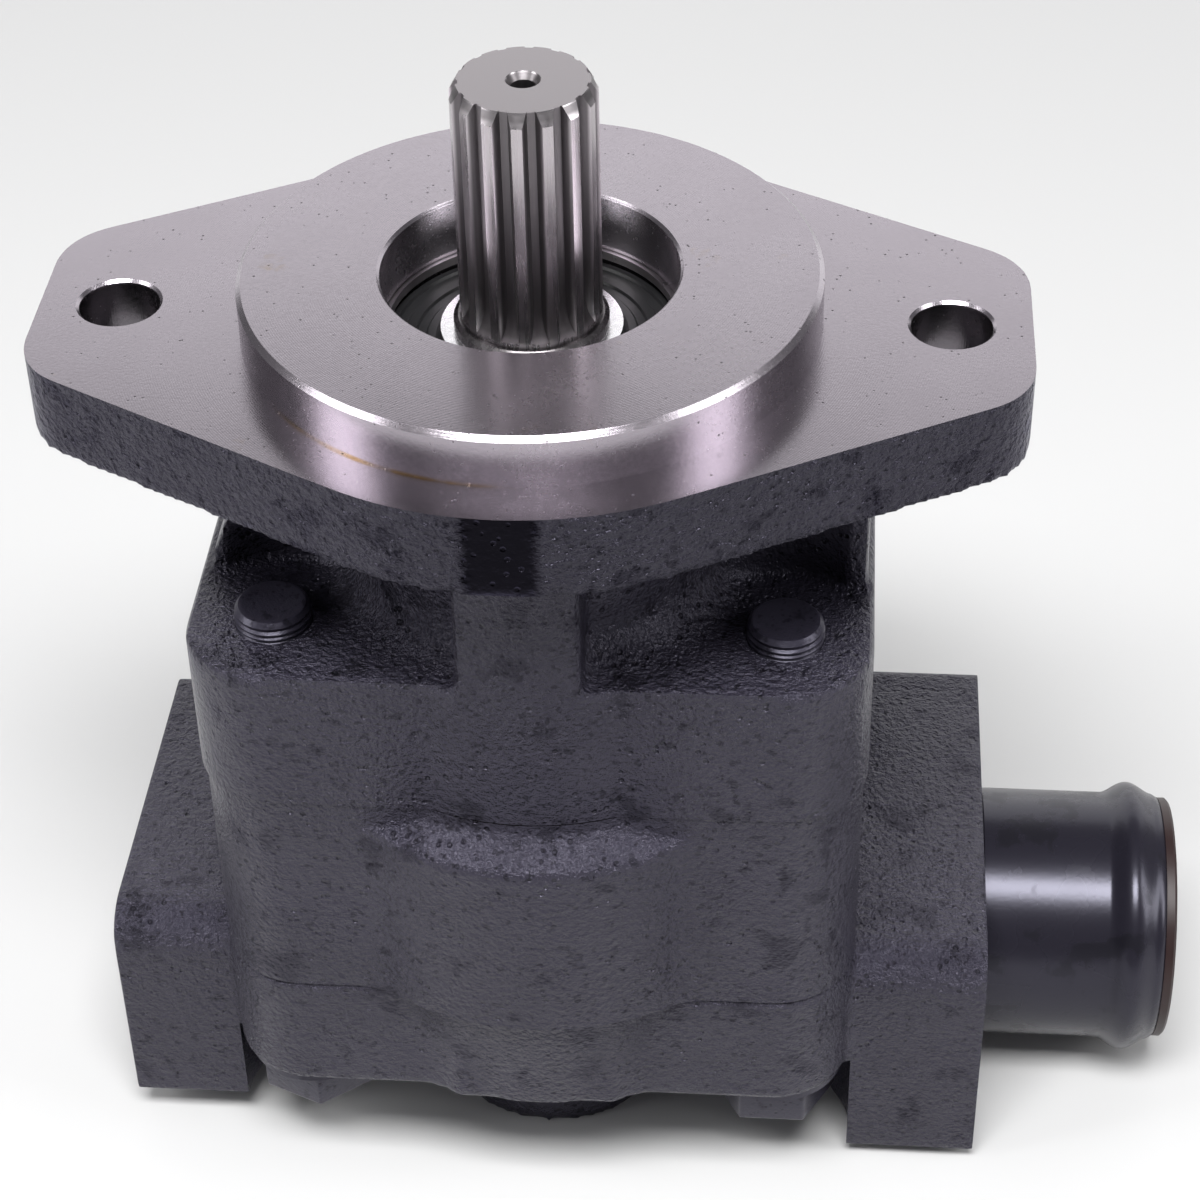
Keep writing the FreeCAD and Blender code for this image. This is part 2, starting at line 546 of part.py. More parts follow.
def shaft_seal():
    """Rubber lip seal: a sleeve in the bore, a ridged face, and a lip and a dust lip on the shaft."""
    lip = JOURNAL_RADIUS + 0.05
    outer = SEAL_BORE_RADIUS - 0.05
    case_outer = SEAL_CASE_OUTER + 0.05
    depth = SEAL_TOP - SEAL_BOTTOM
    sleeve = [(outer, depth), (outer, 0.4), (outer - 0.4, 0.0)]
    ridged_face = [(outer - 1.5, 0.0), (outer - 1.8, 0.5), (22.6, 0.5), (22.3, 0.15), (20.6, 0.15),
                   (20.3, 0.6), (18.8, 0.6), (18.4, 0.2), (17.0, 0.2)]
    dust_lip = [(lip, 0.9), (lip, 1.3), (17.0, 2.0)]
    main_lip = [(17.0, 4.2), (lip, 5.3), (lip, 5.6), (17.3, 6.9), (18.9, 6.9)]
    spring_groove = [(18.9, 6.2), (18.2, 5.9), (18.2, 4.9), (18.9, 4.6)]
    under_case = [(18.9, SEAL_CASE_TOP - 0.05), (case_outer, SEAL_CASE_TOP - 0.05), (case_outer, depth)]
    outline = sleeve + ridged_face + dust_lip + main_lip + spring_groove + under_case
    return turned(lines([(radius, SEAL_TOP - below) for radius, below in outline]))


def seal_case():
    """Pressed steel ring of L section that stiffens the seal."""
    top = SEAL_TOP - SEAL_CASE_TOP
    bottom = SEAL_BOTTOM + 0.1
    return turned(lines([(SEAL_CASE_OUTER, bottom), (SEAL_CASE_OUTER, top), (SEAL_CASE_INNER, top),
                         (SEAL_CASE_INNER, top - SEAL_CASE_WALL),
                         (SEAL_CASE_OUTER - SEAL_CASE_WALL, top - SEAL_CASE_WALL),
                         (SEAL_CASE_OUTER - SEAL_CASE_WALL, bottom)]))


def seal_garter_spring():
    return Part.makeTorus(18.7, 0.46, Vector(0, 0, SEAL_TOP - 5.4))


def seal_retaining_ring():
    """Split ring that snaps into the groove above the shaft seal."""
    ring_bottom = RING_TOP - RING_THICKNESS
    inner = SEAL_BORE_RADIUS - 0.85
    outer_disc = cylinder(RING_GROOVE_RADIUS - 0.1, ring_bottom, RING_TOP)
    ring = outer_disc.cut(cylinder(inner, ring_bottom, RING_TOP))
    return ring.cut(box(-3, 3, 0, RING_GROOVE_RADIUS + 1, ring_bottom, RING_TOP))


def inlet_tube():
    """Beaded hose tube with a stepped spigot in the end cover."""
    inner_end = INLET_FACE_X - SPIGOT_LENGTH
    bead_start = BEAD_CENTRE_X - BEAD_HALF_WIDTH
    bead_end = BEAD_CENTRE_X + BEAD_HALF_WIDTH
    lip_radius = TUBE_RADIUS - 1.0
    groove_start = INLET_FACE_X - 8.5
    groove_end = INLET_FACE_X - 5.9
    groove_radius = SPIGOT_RADIUS - 1.75

    def at(radius, x):
        return Vector(radius, 0, x)

    outside = [at(20.0, inner_end), at(SPIGOT_RADIUS - 0.5, inner_end), at(SPIGOT_RADIUS, inner_end + 0.5),
               at(SPIGOT_RADIUS, groove_start), at(groove_radius, groove_start),
               at(groove_radius, groove_end), at(SPIGOT_RADIUS, groove_end),
               at(SPIGOT_RADIUS, INLET_FACE_X), at(TUBE_RADIUS, INLET_FACE_X), at(TUBE_RADIUS, bead_start)]
    inside = [at(lip_radius, TUBE_END_X), at(TUBE_BORE + 0.4, TUBE_END_X), at(TUBE_BORE, TUBE_END_X - 0.8),
              at(TUBE_BORE, INLET_FACE_X + 4.0), at(20.0, INLET_FACE_X + 0.5), at(20.0, inner_end)]
    edges = [Part.makeLine(a, b) for a, b in zip(outside, outside[1:])]
    edges.append(Part.Arc(at(TUBE_RADIUS, bead_start), at(BEAD_RADIUS, BEAD_CENTRE_X),
                          at(TUBE_RADIUS, bead_end)).toShape())
    edges.append(Part.Arc(at(TUBE_RADIUS, bead_end), at(TUBE_RADIUS - 0.3, bead_end + 1.0),
                          at(lip_radius, TUBE_END_X)).toShape())
    edges += [Part.makeLine(a, b) for a, b in zip(inside, inside[1:])]
    return turned_about_x(edges, INLET_Y, INLET_Z)


def inlet_tube_oring():
    ring = Part.makeTorus(SPIGOT_RADIUS - 0.87, 0.85, Vector(0, 0, 0))
    ring.rotate(Vector(0, 0, 0), Vector(0, 1, 0), 90)
    ring.translate(Vector(INLET_FACE_X - 7.2, INLET_Y, INLET_Z))
    return ring


def plug(radius, inner_x, mouth_x, y, z, rims=()):
    """Thin-walled plastic cup pushed into a port, open at its mouth, with any rims outside the port."""
    inward = math.copysign(1, inner_x - mouth_x)
    floor_x = inner_x - inward * PLUG_WALL
    cup = union([cylinder_x(radius, *sorted((inner_x, mouth_x)), y, z)] + list(rims))
    return cup.cut(cylinder_x(radius - PLUG_WALL, *sorted((floor_x, mouth_x)), y, z))


def inlet_dust_plug():
    mouth_x = TUBE_END_X + TUBE_PLUG_RIM_THICKNESS
    rim = cylinder_x(TUBE_PLUG_RIM_RADIUS, TUBE_END_X, mouth_x, INLET_Y, INLET_Z)
    return plug(TUBE_BORE - 0.05, TUBE_END_X - PLUG_DEPTH, mouth_x, INLET_Y, INLET_Z, [rim])


def outlet_dust_plug():
    return plug(OUTLET_PASSAGE_RADIUS - 0.05, OUTLET_FACE_X + PLUG_DEPTH, OUTLET_FACE_X, OUTLET_Y, OUTLET_Z)


def gear_shaft(y, front_end, first_tooth):
    """Gear and its two journals, in one piece."""
    outline = toothed_face(GEAR_TEETH, CENTRE_DISTANCE / 2, GEAR_PRESSURE_ANGLE,
                           CENTRE_DISTANCE / 2 + GEAR_ADDENDUM * GEAR_MODULE,
                           CENTRE_DISTANCE / 2 - GEAR_DEDENDUM * GEAR_MODULE, GEAR_BACKLASH, first_tooth)
    gear = prism(outline, GEAR_BOTTOM, GEAR_TOP)
    rear_end = HOUSING_BOTTOM - BUSHING_LENGTH_REAR + 1.5
    journal = cylinder(JOURNAL_RADIUS, rear_end, front_end)
    journal = chamfered(journal, 0.8, at_level(rear_end))
    shaft = union([gear, journal])
    shaft.translate(Vector(0, y, 0))
    return shaft


def splined_end():
    """Collar, spline with its curved run-out, chamfered tip and centre hole."""
    root = SPLINE_ROOT_RADIUS
    rise = SPLINE_TIP_RADIUS - root
    run = SPLINE_FULL_DEPTH_FROM - SPLINE_RUNOUT_TO
    hob_radius = (run * run + rise * rise) / (2 * rise)
    bend = math.asin(run / hob_radius) / 2
    bend_point = Vector(root + hob_radius * (1 - math.cos(bend)), 0,
                        SPLINE_FULL_DEPTH_FROM - hob_radius * math.sin(bend))
    tip_foot = Vector(SPLINE_TIP_RADIUS, 0, SPLINE_RUNOUT_TO)
    core = turned([
        Part.makeLine(Vector(0, 0, SHOULDER_Z), Vector(SPLINE_TIP_RADIUS, 0, SHOULDER_Z)),
        Part.makeLine(Vector(SPLINE_TIP_RADIUS, 0, SHOULDER_Z), tip_foot),
        Part.Arc(tip_foot, bend_point, Vector(root, 0, SPLINE_FULL_DEPTH_FROM)).toShape(),
        Part.makeLine(Vector(root, 0, SPLINE_FULL_DEPTH_FROM), Vector(root, 0, SPLINE_TOP)),
        Part.makeLine(Vector(root, 0, SPLINE_TOP), Vector(0, 0, SPLINE_TOP)),
        Part.makeLine(Vector(0, 0, SPLINE_TOP), Vector(0, 0, SHOULDER_Z)),
    ])
    outline = toothed_face(SPLINE_TEETH, SPLINE_PITCH_RADIUS, 30.0, SPLINE_TIP_RADIUS, root, 0.05, -90.0)
    teeth = prism(outline, SHOULDER_Z, SPLINE_TOP)
    collar = turned(lines([(0, SHOULDER_Z), (COLLAR_RADIUS, SHOULDER_Z), (COLLAR_RADIUS, COLLAR_TOP - 0.6),
                           (COLLAR_RADIUS - 0.8, COLLAR_TOP), (0, COLLAR_TOP)]))
    chamfer_start = SPLINE_TOP - SPLINE_CHAMFER_LENGTH
    limit = COLLAR_RADIUS + 1
    envelope = turned(lines([(0, SHOULDER_Z), (limit, SHOULDER_Z), (limit, COLLAR_TOP + 0.5),
                             (SPLINE_TIP_RADIUS + 0.05, COLLAR_TOP + 0.5),
                             (SPLINE_TIP_RADIUS + 0.05, chamfer_start), (SPLINE_END_RADIUS, SPLINE_TOP),
                             (0, SPLINE_TOP)]))
    solid = union([core, teeth, collar]).common(envelope)
    centre_hole = cylinder(CENTRE_HOLE_RADIUS, SPLINE_TOP - CENTRE_HOLE_DEPTH, SPLINE_TOP)
    countersink = Part.makeCone(CENTRE_HOLE_RADIUS, CENTRE_SINK_RADIUS, CENTRE_SINK_DEPTH,
                                Vector(0, 0, SPLINE_TOP - CENTRE_SINK_DEPTH))
    return solid.cut([centre_hole, countersink])


def drive_gear_shaft():
    return union([gear_shaft(0.0, SHOULDER_Z, 90.0), splined_end()])


def driven_gear_shaft():
    journal_end = HOUSING_TOP + BUSHING_LENGTH_FRONT - 2.0
    half_tooth = 180.0 / GEAR_TEETH
    shaft = gear_shaft(CENTRE_DISTANCE, journal_end, -90.0 + half_tooth)
    return chamfered(shaft, 0.8, at_level(journal_end))


NODES = {
    "shaft_end_cover": shaft_end_cover(),
    "gear_housing": gear_housing(),
    "port_end_cover": port_end_cover(),
    "through_bolts": through_bolts(),
    "bolt_washers": bolt_washers(),
    "housing_dowels": housing_dowels(),
    "front_body_seal": body_seal(HOUSING_TOP, HOUSING_TOP + BODY_SEAL_DEPTH),
    "rear_body_seal": body_seal(HOUSING_BOTTOM - BODY_SEAL_DEPTH, HOUSING_BOTTOM),
    "front_thrust_plate": thrust_plate(HOUSING_TOP - PLATE_THICKNESS, HOUSING_TOP - PLATE_GROOVE_DEPTH),
    "rear_thrust_plate": thrust_plate(HOUSING_BOTTOM, HOUSING_BOTTOM),
    "front_pressure_seal": plate_seal(PRESSURE_SEAL_OUTER, PRESSURE_SEAL_INNER,
                                      HOUSING_TOP - PLATE_GROOVE_DEPTH),
    "front_backup_seal": plate_seal(PRESSURE_SEAL_INNER - 0.1, BACKUP_SEAL_INNER,
                                    HOUSING_TOP - PLATE_GROOVE_DEPTH),
    "rear_pressure_seal": plate_seal(PRESSURE_SEAL_OUTER, PRESSURE_SEAL_INNER, HOUSING_BOTTOM),
    "rear_backup_seal": plate_seal(PRESSURE_SEAL_INNER - 0.1, BACKUP_SEAL_INNER, HOUSING_BOTTOM),
    "shaft_seal": shaft_seal(),
    "seal_case": seal_case(),
    "seal_garter_spring": seal_garter_spring(),
    "seal_retaining_ring": seal_retaining_ring(),
    "inlet_tube": inlet_tube(),
    "inlet_tube_oring": inlet_tube_oring(),
    "inlet_dust_plug": inlet_dust_plug(),
    "outlet_dust_plug": outlet_dust_plug(),
    "drive_gear_shaft": drive_gear_shaft(),
    "driven_gear_shaft": driven_gear_shaft(),
}
for gear_name, shaft_y in (("drive", 0.0), ("driven", CENTRE_DISTANCE)):
    NODES[gear_name + "_front_bushing"] = bushing(HOUSING_TOP, HOUSING_TOP + BUSHING_LENGTH_FRONT, shaft_y)
    NODES[gear_name + "_rear_bushing"] = bushing(HOUSING_BOTTOM - BUSHING_LENGTH_REAR,
                                                 HOUSING_BOTTOM, shaft_y)

for node_name, shape in NODES.items():
    shape.exportStep("parts/" + node_name + ".step")
    print(node_name, shape.isValid(), len(shape.Solids), round(shape.Volume))
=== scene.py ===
import json
import math

import bmesh
import bpy
from mathutils import Matrix, Vector


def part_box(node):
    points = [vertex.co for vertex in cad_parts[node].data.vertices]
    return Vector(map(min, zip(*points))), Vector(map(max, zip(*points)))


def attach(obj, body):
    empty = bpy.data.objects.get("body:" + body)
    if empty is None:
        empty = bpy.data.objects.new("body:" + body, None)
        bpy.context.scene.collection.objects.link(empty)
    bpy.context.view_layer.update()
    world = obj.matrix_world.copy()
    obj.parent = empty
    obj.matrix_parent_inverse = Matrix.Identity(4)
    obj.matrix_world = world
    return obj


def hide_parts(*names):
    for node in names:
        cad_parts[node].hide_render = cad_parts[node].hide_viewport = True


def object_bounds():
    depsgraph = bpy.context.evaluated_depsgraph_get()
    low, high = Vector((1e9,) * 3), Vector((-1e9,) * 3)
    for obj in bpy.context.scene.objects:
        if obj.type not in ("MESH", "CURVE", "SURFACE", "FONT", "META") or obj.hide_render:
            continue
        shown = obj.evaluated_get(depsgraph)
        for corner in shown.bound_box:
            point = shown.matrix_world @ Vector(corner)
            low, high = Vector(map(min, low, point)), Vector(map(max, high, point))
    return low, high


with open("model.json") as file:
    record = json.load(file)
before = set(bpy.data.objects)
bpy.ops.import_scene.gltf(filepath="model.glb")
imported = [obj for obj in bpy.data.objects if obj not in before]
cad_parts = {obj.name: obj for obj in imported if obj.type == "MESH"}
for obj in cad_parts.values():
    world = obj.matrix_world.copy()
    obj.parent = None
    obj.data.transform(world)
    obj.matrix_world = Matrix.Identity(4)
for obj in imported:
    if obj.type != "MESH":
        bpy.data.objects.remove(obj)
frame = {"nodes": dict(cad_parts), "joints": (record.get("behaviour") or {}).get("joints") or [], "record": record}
cad_low, cad_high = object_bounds()

bl_info = {
    "name": "Gear pump with size B flange",
    "version": (1, 0, 0),
    "blender": (4, 5, 0),
    "location": "3D View > Sidebar > Gear Pump",
    "description": "Builds the castings, fasteners, tube and finishes of a flanged gear pump",
    "category": "Object",
}

MM = 0.001
FULL_TURN = 2 * math.pi
ROUND_STEPS = 144
WIDE = 120.0                    # reach of a cutting block past every side of the castings


# ------------------------------------------------------------------ sizes read from the frame and given sizes

def level_of(node, end):
    """Lowest (0) or highest (1) level of a CAD node, in millimetres."""
    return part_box(node)[end].z / MM


def joint_axis(name):
    """Place of a joint's axis in the XY plane, in millimetres."""
    for joint in frame["joints"]:
        if joint["name"] == name:
            return joint["pos_m"][0] / MM, joint["pos_m"][1] / MM
    raise ValueError("the frame has no joint named " + name)


def mount_of(name):
    for mount in frame["record"]["mounts"]:
        if mount["name"] == name:
            return mount
    raise ValueError("the frame has no mount named " + name)


DRIVEN_Y = joint_axis("driven_spin")[1]
MID_Y = DRIVEN_Y / 2
SHAFT_AXES = ((0.0, 0.0), (0.0, DRIVEN_Y))
HOUSING_TOP = level_of("gear_housing", 1)
HOUSING_BOTTOM = level_of("gear_housing", 0)
BOSS_BOTTOM = level_of("port_end_cover", 0)
PILOT_HEIGHT = level_of("shaft_end_cover", 1)
WASHER_TOP = level_of("bolt_washers", 1)
WASHER_BOTTOM = level_of("bolt_washers", 0)
BOLT_TIP = level_of("through_bolts", 1)
BOLT_HEAD_BOTTOM = level_of("through_bolts", 0)
COVER_HALF_WIDTH = 61.9
FRONT_BULGE_RADIUS = 44.3
LOBE_RADIUS = 50.0
LOBE_TOP = -84.0
CREST_DROP = 4.4
CREST_DEPTH = 5.4
END_LOBE_TOP_RADIUS = 47.2
END_LOBE_BOTTOM_RADIUS = 44.4
END_BLEND_LOBE_RADIUS = 45.6
BLEND_RADIUS = 14.0
HOUSING_FRONT = 40.6
CHAMBER_RADIUS = 29.5
PORT_POCKET_RADIUS = 9.5
PORT_POCKET_X = 22.0
BUSHING_BORE_RADIUS = 19.02
SEAL_RECESS_RADIUS = 26.05
PORT_FACE_X = 87.0
END_BOSS_RADIUS = 24.0
HOUSING_HALF_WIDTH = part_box("gear_housing")[1].x / MM
EAR_END_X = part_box("shaft_end_cover")[1].x / MM
PILOT_RADIUS = mount_of("pilot")["dims"]["r_mm"]
FLANGE_HOLE_RADIUS = mount_of("flange_bolts")["dims"]["hole_r_mm"]
FLANGE_HOLE_X = mount_of("flange_bolts")["dims"]["spacing_x_mm"] / 2
TUBE_RADIUS = mount_of("inlet_hose_end")["dims"]["r_mm"]
TUBE_AXIS = (mount_of("inlet_hose_end")["pos_m"][1] / MM, mount_of("inlet_hose_end")["pos_m"][2] / MM)
PAD_AXIS = (mount_of("outlet_pad_bolts")["pos_m"][1] / MM, mount_of("outlet_pad_bolts")["pos_m"][2] / MM)
PAD_FACE_X = mount_of("outlet_pad_bolts")["pos_m"][0] / MM
PAD_SPACING = (mount_of("outlet_pad_bolts")["dims"]["spacing_x_mm"],
               mount_of("outlet_pad_bolts")["dims"]["spacing_y_mm"])
PAD_HOLE_RADIUS = mount_of("outlet_pad_bolts")["dims"]["hole_r_mm"]
BOLT_RADIUS = 7.0
BOLT_HOLE_RADIUS = BOLT_RADIUS + 0.05
HEX_ACROSS_FLATS = 22.0
WASHER_RADIUS = 14.0
BOLT_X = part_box("bolt_washers")[1].x / MM - WASHER_RADIUS
BOLT_FRONT_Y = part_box("bolt_washers")[0].y / MM + WASHER_RADIUS
BOLT_AXES = [(side * BOLT_X, y) for y in (BOLT_FRONT_Y, DRIVEN_Y - BOLT_FRONT_Y) for side in (-1, 1)]


# ------------------------------------------------------------------ properties

class PumpCastingSettings(bpy.types.PropertyGroup):
    voxel: bpy.props.FloatProperty(
        name="Skin grid", description="Grid size of the fused casting skin",
        default=1.0 * MM, min=0.5 * MM, max=4 * MM, unit="LENGTH", precision=5)
    soften: bpy.props.IntProperty(
        name="Softening", description="Passes that round the edges of a casting", default=3, min=0, max=40)
    flange_thickness: bpy.props.FloatProperty(
        name="Flange thickness", description="Thickness of the mounting flange",
        default=16 * MM, unit="LENGTH")
    seam_gap: bpy.props.FloatProperty(
        name="Seam", description="Width of the line at a joint between two castings",
        default=0.42 * MM, unit="LENGTH", precision=5)
    shelf_level: bpy.props.FloatProperty(
        name="Shelf level", description="Height of the shelf that the through-bolts end on",
        default=-51 * MM, unit="LENGTH")


class PumpFinishSettings(bpy.types.PropertyGroup):
    paint: bpy.props.FloatVectorProperty(
        name="Paint", description="Colour of the black paint", subtype="COLOR", size=3,
        default=(0.0195, 0.0178, 0.0268))
    machined: bpy.props.FloatVectorProperty(
        name="Machined iron", description="Colour of the bare machined iron", subtype="COLOR", size=3,
        default=(0.385, 0.352, 0.388))
    steel: bpy.props.FloatVectorProperty(
        name="Steel", description="Colour of the ground shaft steel", subtype="COLOR", size=3,
        default=(0.52, 0.485, 0.505))
    plug: bpy.props.FloatVectorProperty(
        name="Dust plug", description="Colour of the plastic dust plugs", subtype="COLOR", size=3,
        default=(0.014, 0.003, 0.003))
    pebble: bpy.props.FloatProperty(
        name="Cast grain", description="Height of the sand-cast grain", default=1.25 * MM,
        unit="LENGTH", precision=5)


class PumpStageSettings(bpy.types.PropertyGroup):
    azimuth: bpy.props.FloatProperty(
        name="Azimuth", description="Camera direction round the pump", default=math.radians(5.030),
        subtype="ANGLE")
    elevation: bpy.props.FloatProperty(
        name="Elevation", description="Camera height above the horizon", default=math.radians(38.967),
        subtype="ANGLE")
    roll: bpy.props.FloatProperty(
        name="Roll", description="Camera roll", default=math.radians(-1.252), subtype="ANGLE")
    distance: bpy.props.FloatProperty(
        name="Distance", description="Camera distance from the point that it looks at",
        default=555.5 * MM, unit="LENGTH")
    target: bpy.props.FloatVectorProperty(
        name="Target", description="Point that the camera looks at", size=3,
        default=(10.865 * MM, 0.0, -63.9 * MM), subtype="TRANSLATION", unit="LENGTH")
    lens: bpy.props.FloatProperty(
        name="Lens", description="Focal length in millimetres on a 36 mm sensor", default=88.7)
    floor_colour: bpy.props.FloatVectorProperty(
        name="Floor", description="Colour of the pale floor", subtype="COLOR", size=3,
        default=(0.56, 0.56, 0.56))


# ------------------------------------------------------------------ shader graph

class Signal:
    """One shader socket. Expressions on it add Math nodes."""

    def __init__(self, graph, socket):
        self.graph = graph
        self.socket = socket

    def math(self, operation, *values):
        return self.graph.node("Math", {"operation": operation}, dict(enumerate((self, *values))))

    def __add__(self, other):
        return self.math("ADD", other)

    def __radd__(self, other):
        return self.math("ADD", other)

    def __sub__(self, other):
        return self.math("SUBTRACT", other)

    def __rsub__(self, other):
        return self.graph.node("Math", {"operation": "SUBTRACT"}, {0: other, 1: self})

    def __mul__(self, other):
        return self.math("MULTIPLY", other)

    def __rmul__(self, other):
        return self.math("MULTIPLY", other)

    def __pow__(self, other):
        return self.math("POWER", other)

    def above(self, edge, width):
        """0 below the edge and 1 above it, over a soft width."""
        return self.graph.node("MapRange", {"interpolation_type": "SMOOTHSTEP"},
                               {"Value": self, "From Min": edge - width / 2, "From Max": edge + width / 2})

    def below(self, edge, width):
        return 1 - self.above(edge, width)


class Finish:
    """A material under construction, with one Principled shader."""

    def __init__(self, name, **sockets):
        self.material = bpy.data.materials.new(name)
        self.material.use_nodes = True
        self.tree = self.material.node_tree
        self.tree.nodes.clear()
        self.output = self.tree.nodes.new("ShaderNodeOutputMaterial")
        self.shader = self.tree.nodes.new("ShaderNodeBsdfPrincipled")
        self.tree.links.new(self.shader.outputs[0], self.output.inputs[0])
        place = self.tree.nodes.new("ShaderNodeTexCoord")
        self.place = Signal(self, place.outputs["Object"])
        self.set(**sockets)

    def set(self, **sockets):
        for name, value in sockets.items():
            self.feed(self.shader.inputs[name.replace("_", " ")], value)

    def feed(self, socket, value):
        if isinstance(value, Signal):
            self.tree.links.new(value.socket, socket)
        elif socket.type == "RGBA" and len(value) == 3:
            socket.default_value = (*value, 1.0)
        else:
            socket.default_value = value

    def node(self, kind, settings, sockets, output=0):
        """Adds a node, makes its settings first, then feeds its sockets."""
        made = self.tree.nodes.new("ShaderNode" + kind)
        for name, value in settings.items():
            setattr(made, name, value)
        for name, value in sockets.items():
            self.feed(made.inputs[name], value)
        return Signal(self, made.outputs[output])

    def stretched(self, x, y, z):
        return self.node("Mapping", {}, {"Vector": self.place, "Scale": (x, y, z)})

    def noise(self, scale, detail=2.0, rough=0.5, vector=None):
        return self.node("TexNoise", {}, {"Vector": vector or self.place, "Scale": scale, "Detail": detail,
                                          "Roughness": rough})

    def cells(self, scale):
        """Distance to the nearest of many scattered points."""
        return self.node("TexVoronoi", {}, {"Vector": self.place, "Scale": scale})

    def blend(self, factor, first, second):
        """Colour mix: the first colour where the factor is 0, the second where it is 1."""
        return self.node("Mix", {"data_type": "RGBA"}, {0: factor, 6: first, 7: second}, output=2)

    def axis(self, name):
        return self.node("SeparateXYZ", {}, {0: self.place}, output=name)

    def radius_about_z(self):
        return (self.axis("X") ** 2.0 + self.axis("Y") ** 2.0) ** 0.5

    def bump(self, height, distance):
        self.set(Normal=self.node("Bump", {}, {"Height": height, "Distance": distance}))


def black_paint(name, grain, grain_scale, roughness):
    """Satin black paint over sand-cast iron: pebbled grain, small pits and blotches of thicker paint, with painted
    shade in the pits and specks and a painted dark reflection in a strip on the front of the flange rim.
    """
    paint = Vector(bpy.context.scene.pump_finish.paint)
    flange_thickness = bpy.context.scene.pump_casting.flange_thickness
    finish = Finish(name, IOR=1.48, Specular_Tint=(0.83, 0.80, 1.0))
    rim = finish.axis("Z").above(-flange_thickness - 0.6 * MM, 0.8 * MM)
    # The strip on the front of the flange rim has smoother grain and is darkened as a painted dark reflection.
    near_middle = (finish.axis("X") ** 2.0).below((6 * MM) ** 2, (6.5 * MM) ** 2)
    strip = rim * near_middle * finish.axis("Y").below(-30 * MM, 10 * MM)
    pebbles = finish.noise(grain_scale, detail=3.0, rough=0.6)
    coarse = finish.noise(grain_scale * 0.72, detail=3.0, rough=0.6)
    fine = finish.noise(grain_scale * 2.7, detail=2.0)
    pitted = finish.noise(150.0, detail=2.0).above(0.46, 0.2)
    pits = finish.cells(grain_scale * 0.5).below(0.20, 0.16) * pitted
    swell = finish.noise(70.0, detail=1.0)
    patch = finish.noise(26.0, detail=2.0).above(0.48, 0.3)
    body_grain = pebbles * (0.40 + patch * 0.60) + fine * 0.16
    rim_grain = coarse * 1.25 + pebbles * 0.5
    skin = body_grain + rim * (rim_grain - body_grain) - strip * (rim_grain - 0.1) * 0.85
    finish.bump(skin + swell * 0.5 - pits * 0.28, grain)
    blotch = finish.noise(95.0, detail=5.0, rough=0.62).above(0.60, 0.07)
    specks = finish.noise(520.0, detail=2.0).above(0.64, 0.05)
    # Pits and specks are darkened as painted shade inside them, and the strip as a painted dark reflection;
    # blotches and the flange rim are darker too.
    dark = (blotch * 0.4 + specks * 0.5 + pits * 0.6 + rim * 0.3 + strip).math("MINIMUM", 1.0)
    tone = finish.noise(22.0, detail=2.0)
    light = finish.blend(tone, tuple(paint * 0.84), tuple(paint * 1.20))
    finish.set(Base_Color=finish.blend(dark, light, tuple(paint * 0.20)))
    # Blotches of thicker paint and the flange rim mirror less, as a dark metal does; in the pits and specks this
    # is painted shade, and in the strip a painted dark reflection.
    dull = specks * 0.25 + pits * 0.2 + blotch * 0.3 + rim * 0.35 + strip * 0.7
    finish.set(Metallic=dull.math("MINIMUM", 0.92))
    finish.set(Roughness=roughness + (tone - 0.5) * 0.08 + (pits - strip) * 0.06 + (fine - 0.5) * 0.06)
    return finish.material


def machined_iron(name):
    """Bare face-milled grey iron with open pores, faint turning marks and a warm stain by the pilot, with painted
    shade darkening its bores and the faces below the top.
    """
    colour = Vector(bpy.context.scene.pump_finish.machined)
    finish = Finish(name, Metallic=1.0)
    radius = finish.radius_about_z()
    turning_pitch = 0.42 * MM
    turning = (radius * (FULL_TURN / turning_pitch)).math("SINE")
    cloud = finish.noise(38.0, detail=4.0, rough=0.6)
    grain = finish.noise(1500.0, detail=2.0)
    pores = finish.cells(520.0).below(0.10, 0.10) * finish.noise(160.0, detail=1.0).above(0.52, 0.1)
    dull = finish.blend(cloud, tuple(colour * 0.80), tuple(colour * 1.16))
    pored = finish.blend(pores * 0.75, dull, tuple(colour * 0.22))
    foot = finish.axis("Z").below(0.5 * MM, 0.6 * MM) * radius.below(51.2 * MM, 0.5 * MM)
    front_left = finish.axis("Y").below(-34 * MM, 10 * MM) * finish.axis("X").below(-4 * MM, 16 * MM)
    stain = foot * front_left * (0.2 + finish.noise(140.0, detail=3.0).above(0.46, 0.24) * 0.5)
    spot = finish.noise(60.0, detail=4.0, rough=0.7).above(0.70, 0.10)
    warm = (0.33, 0.24, 0.13)
    # Painted shade: the bores and every face below the top face are darkened.
    below_face = finish.axis("Z").below(-0.8 * MM, 0.6 * MM)
    painted_bore_shade = (below_face + radius.below(25.2 * MM, 0.4 * MM)).math("MINIMUM", 1.0)
    face = finish.blend((stain + spot * 0.30).math("MINIMUM", 1.0), pored, warm)
    finish.set(Base_Color=finish.blend(painted_bore_shade * 0.72, face, tuple(colour * 0.16)))
    finish.set(Roughness=0.25 + (cloud - 0.5) * 0.12 + pores * 0.3 + (grain - 0.5) * 0.10)
    finish.bump(grain * 0.55 + turning * 0.10 - pores * 1.6, 0.02 * MM)
    return finish.material


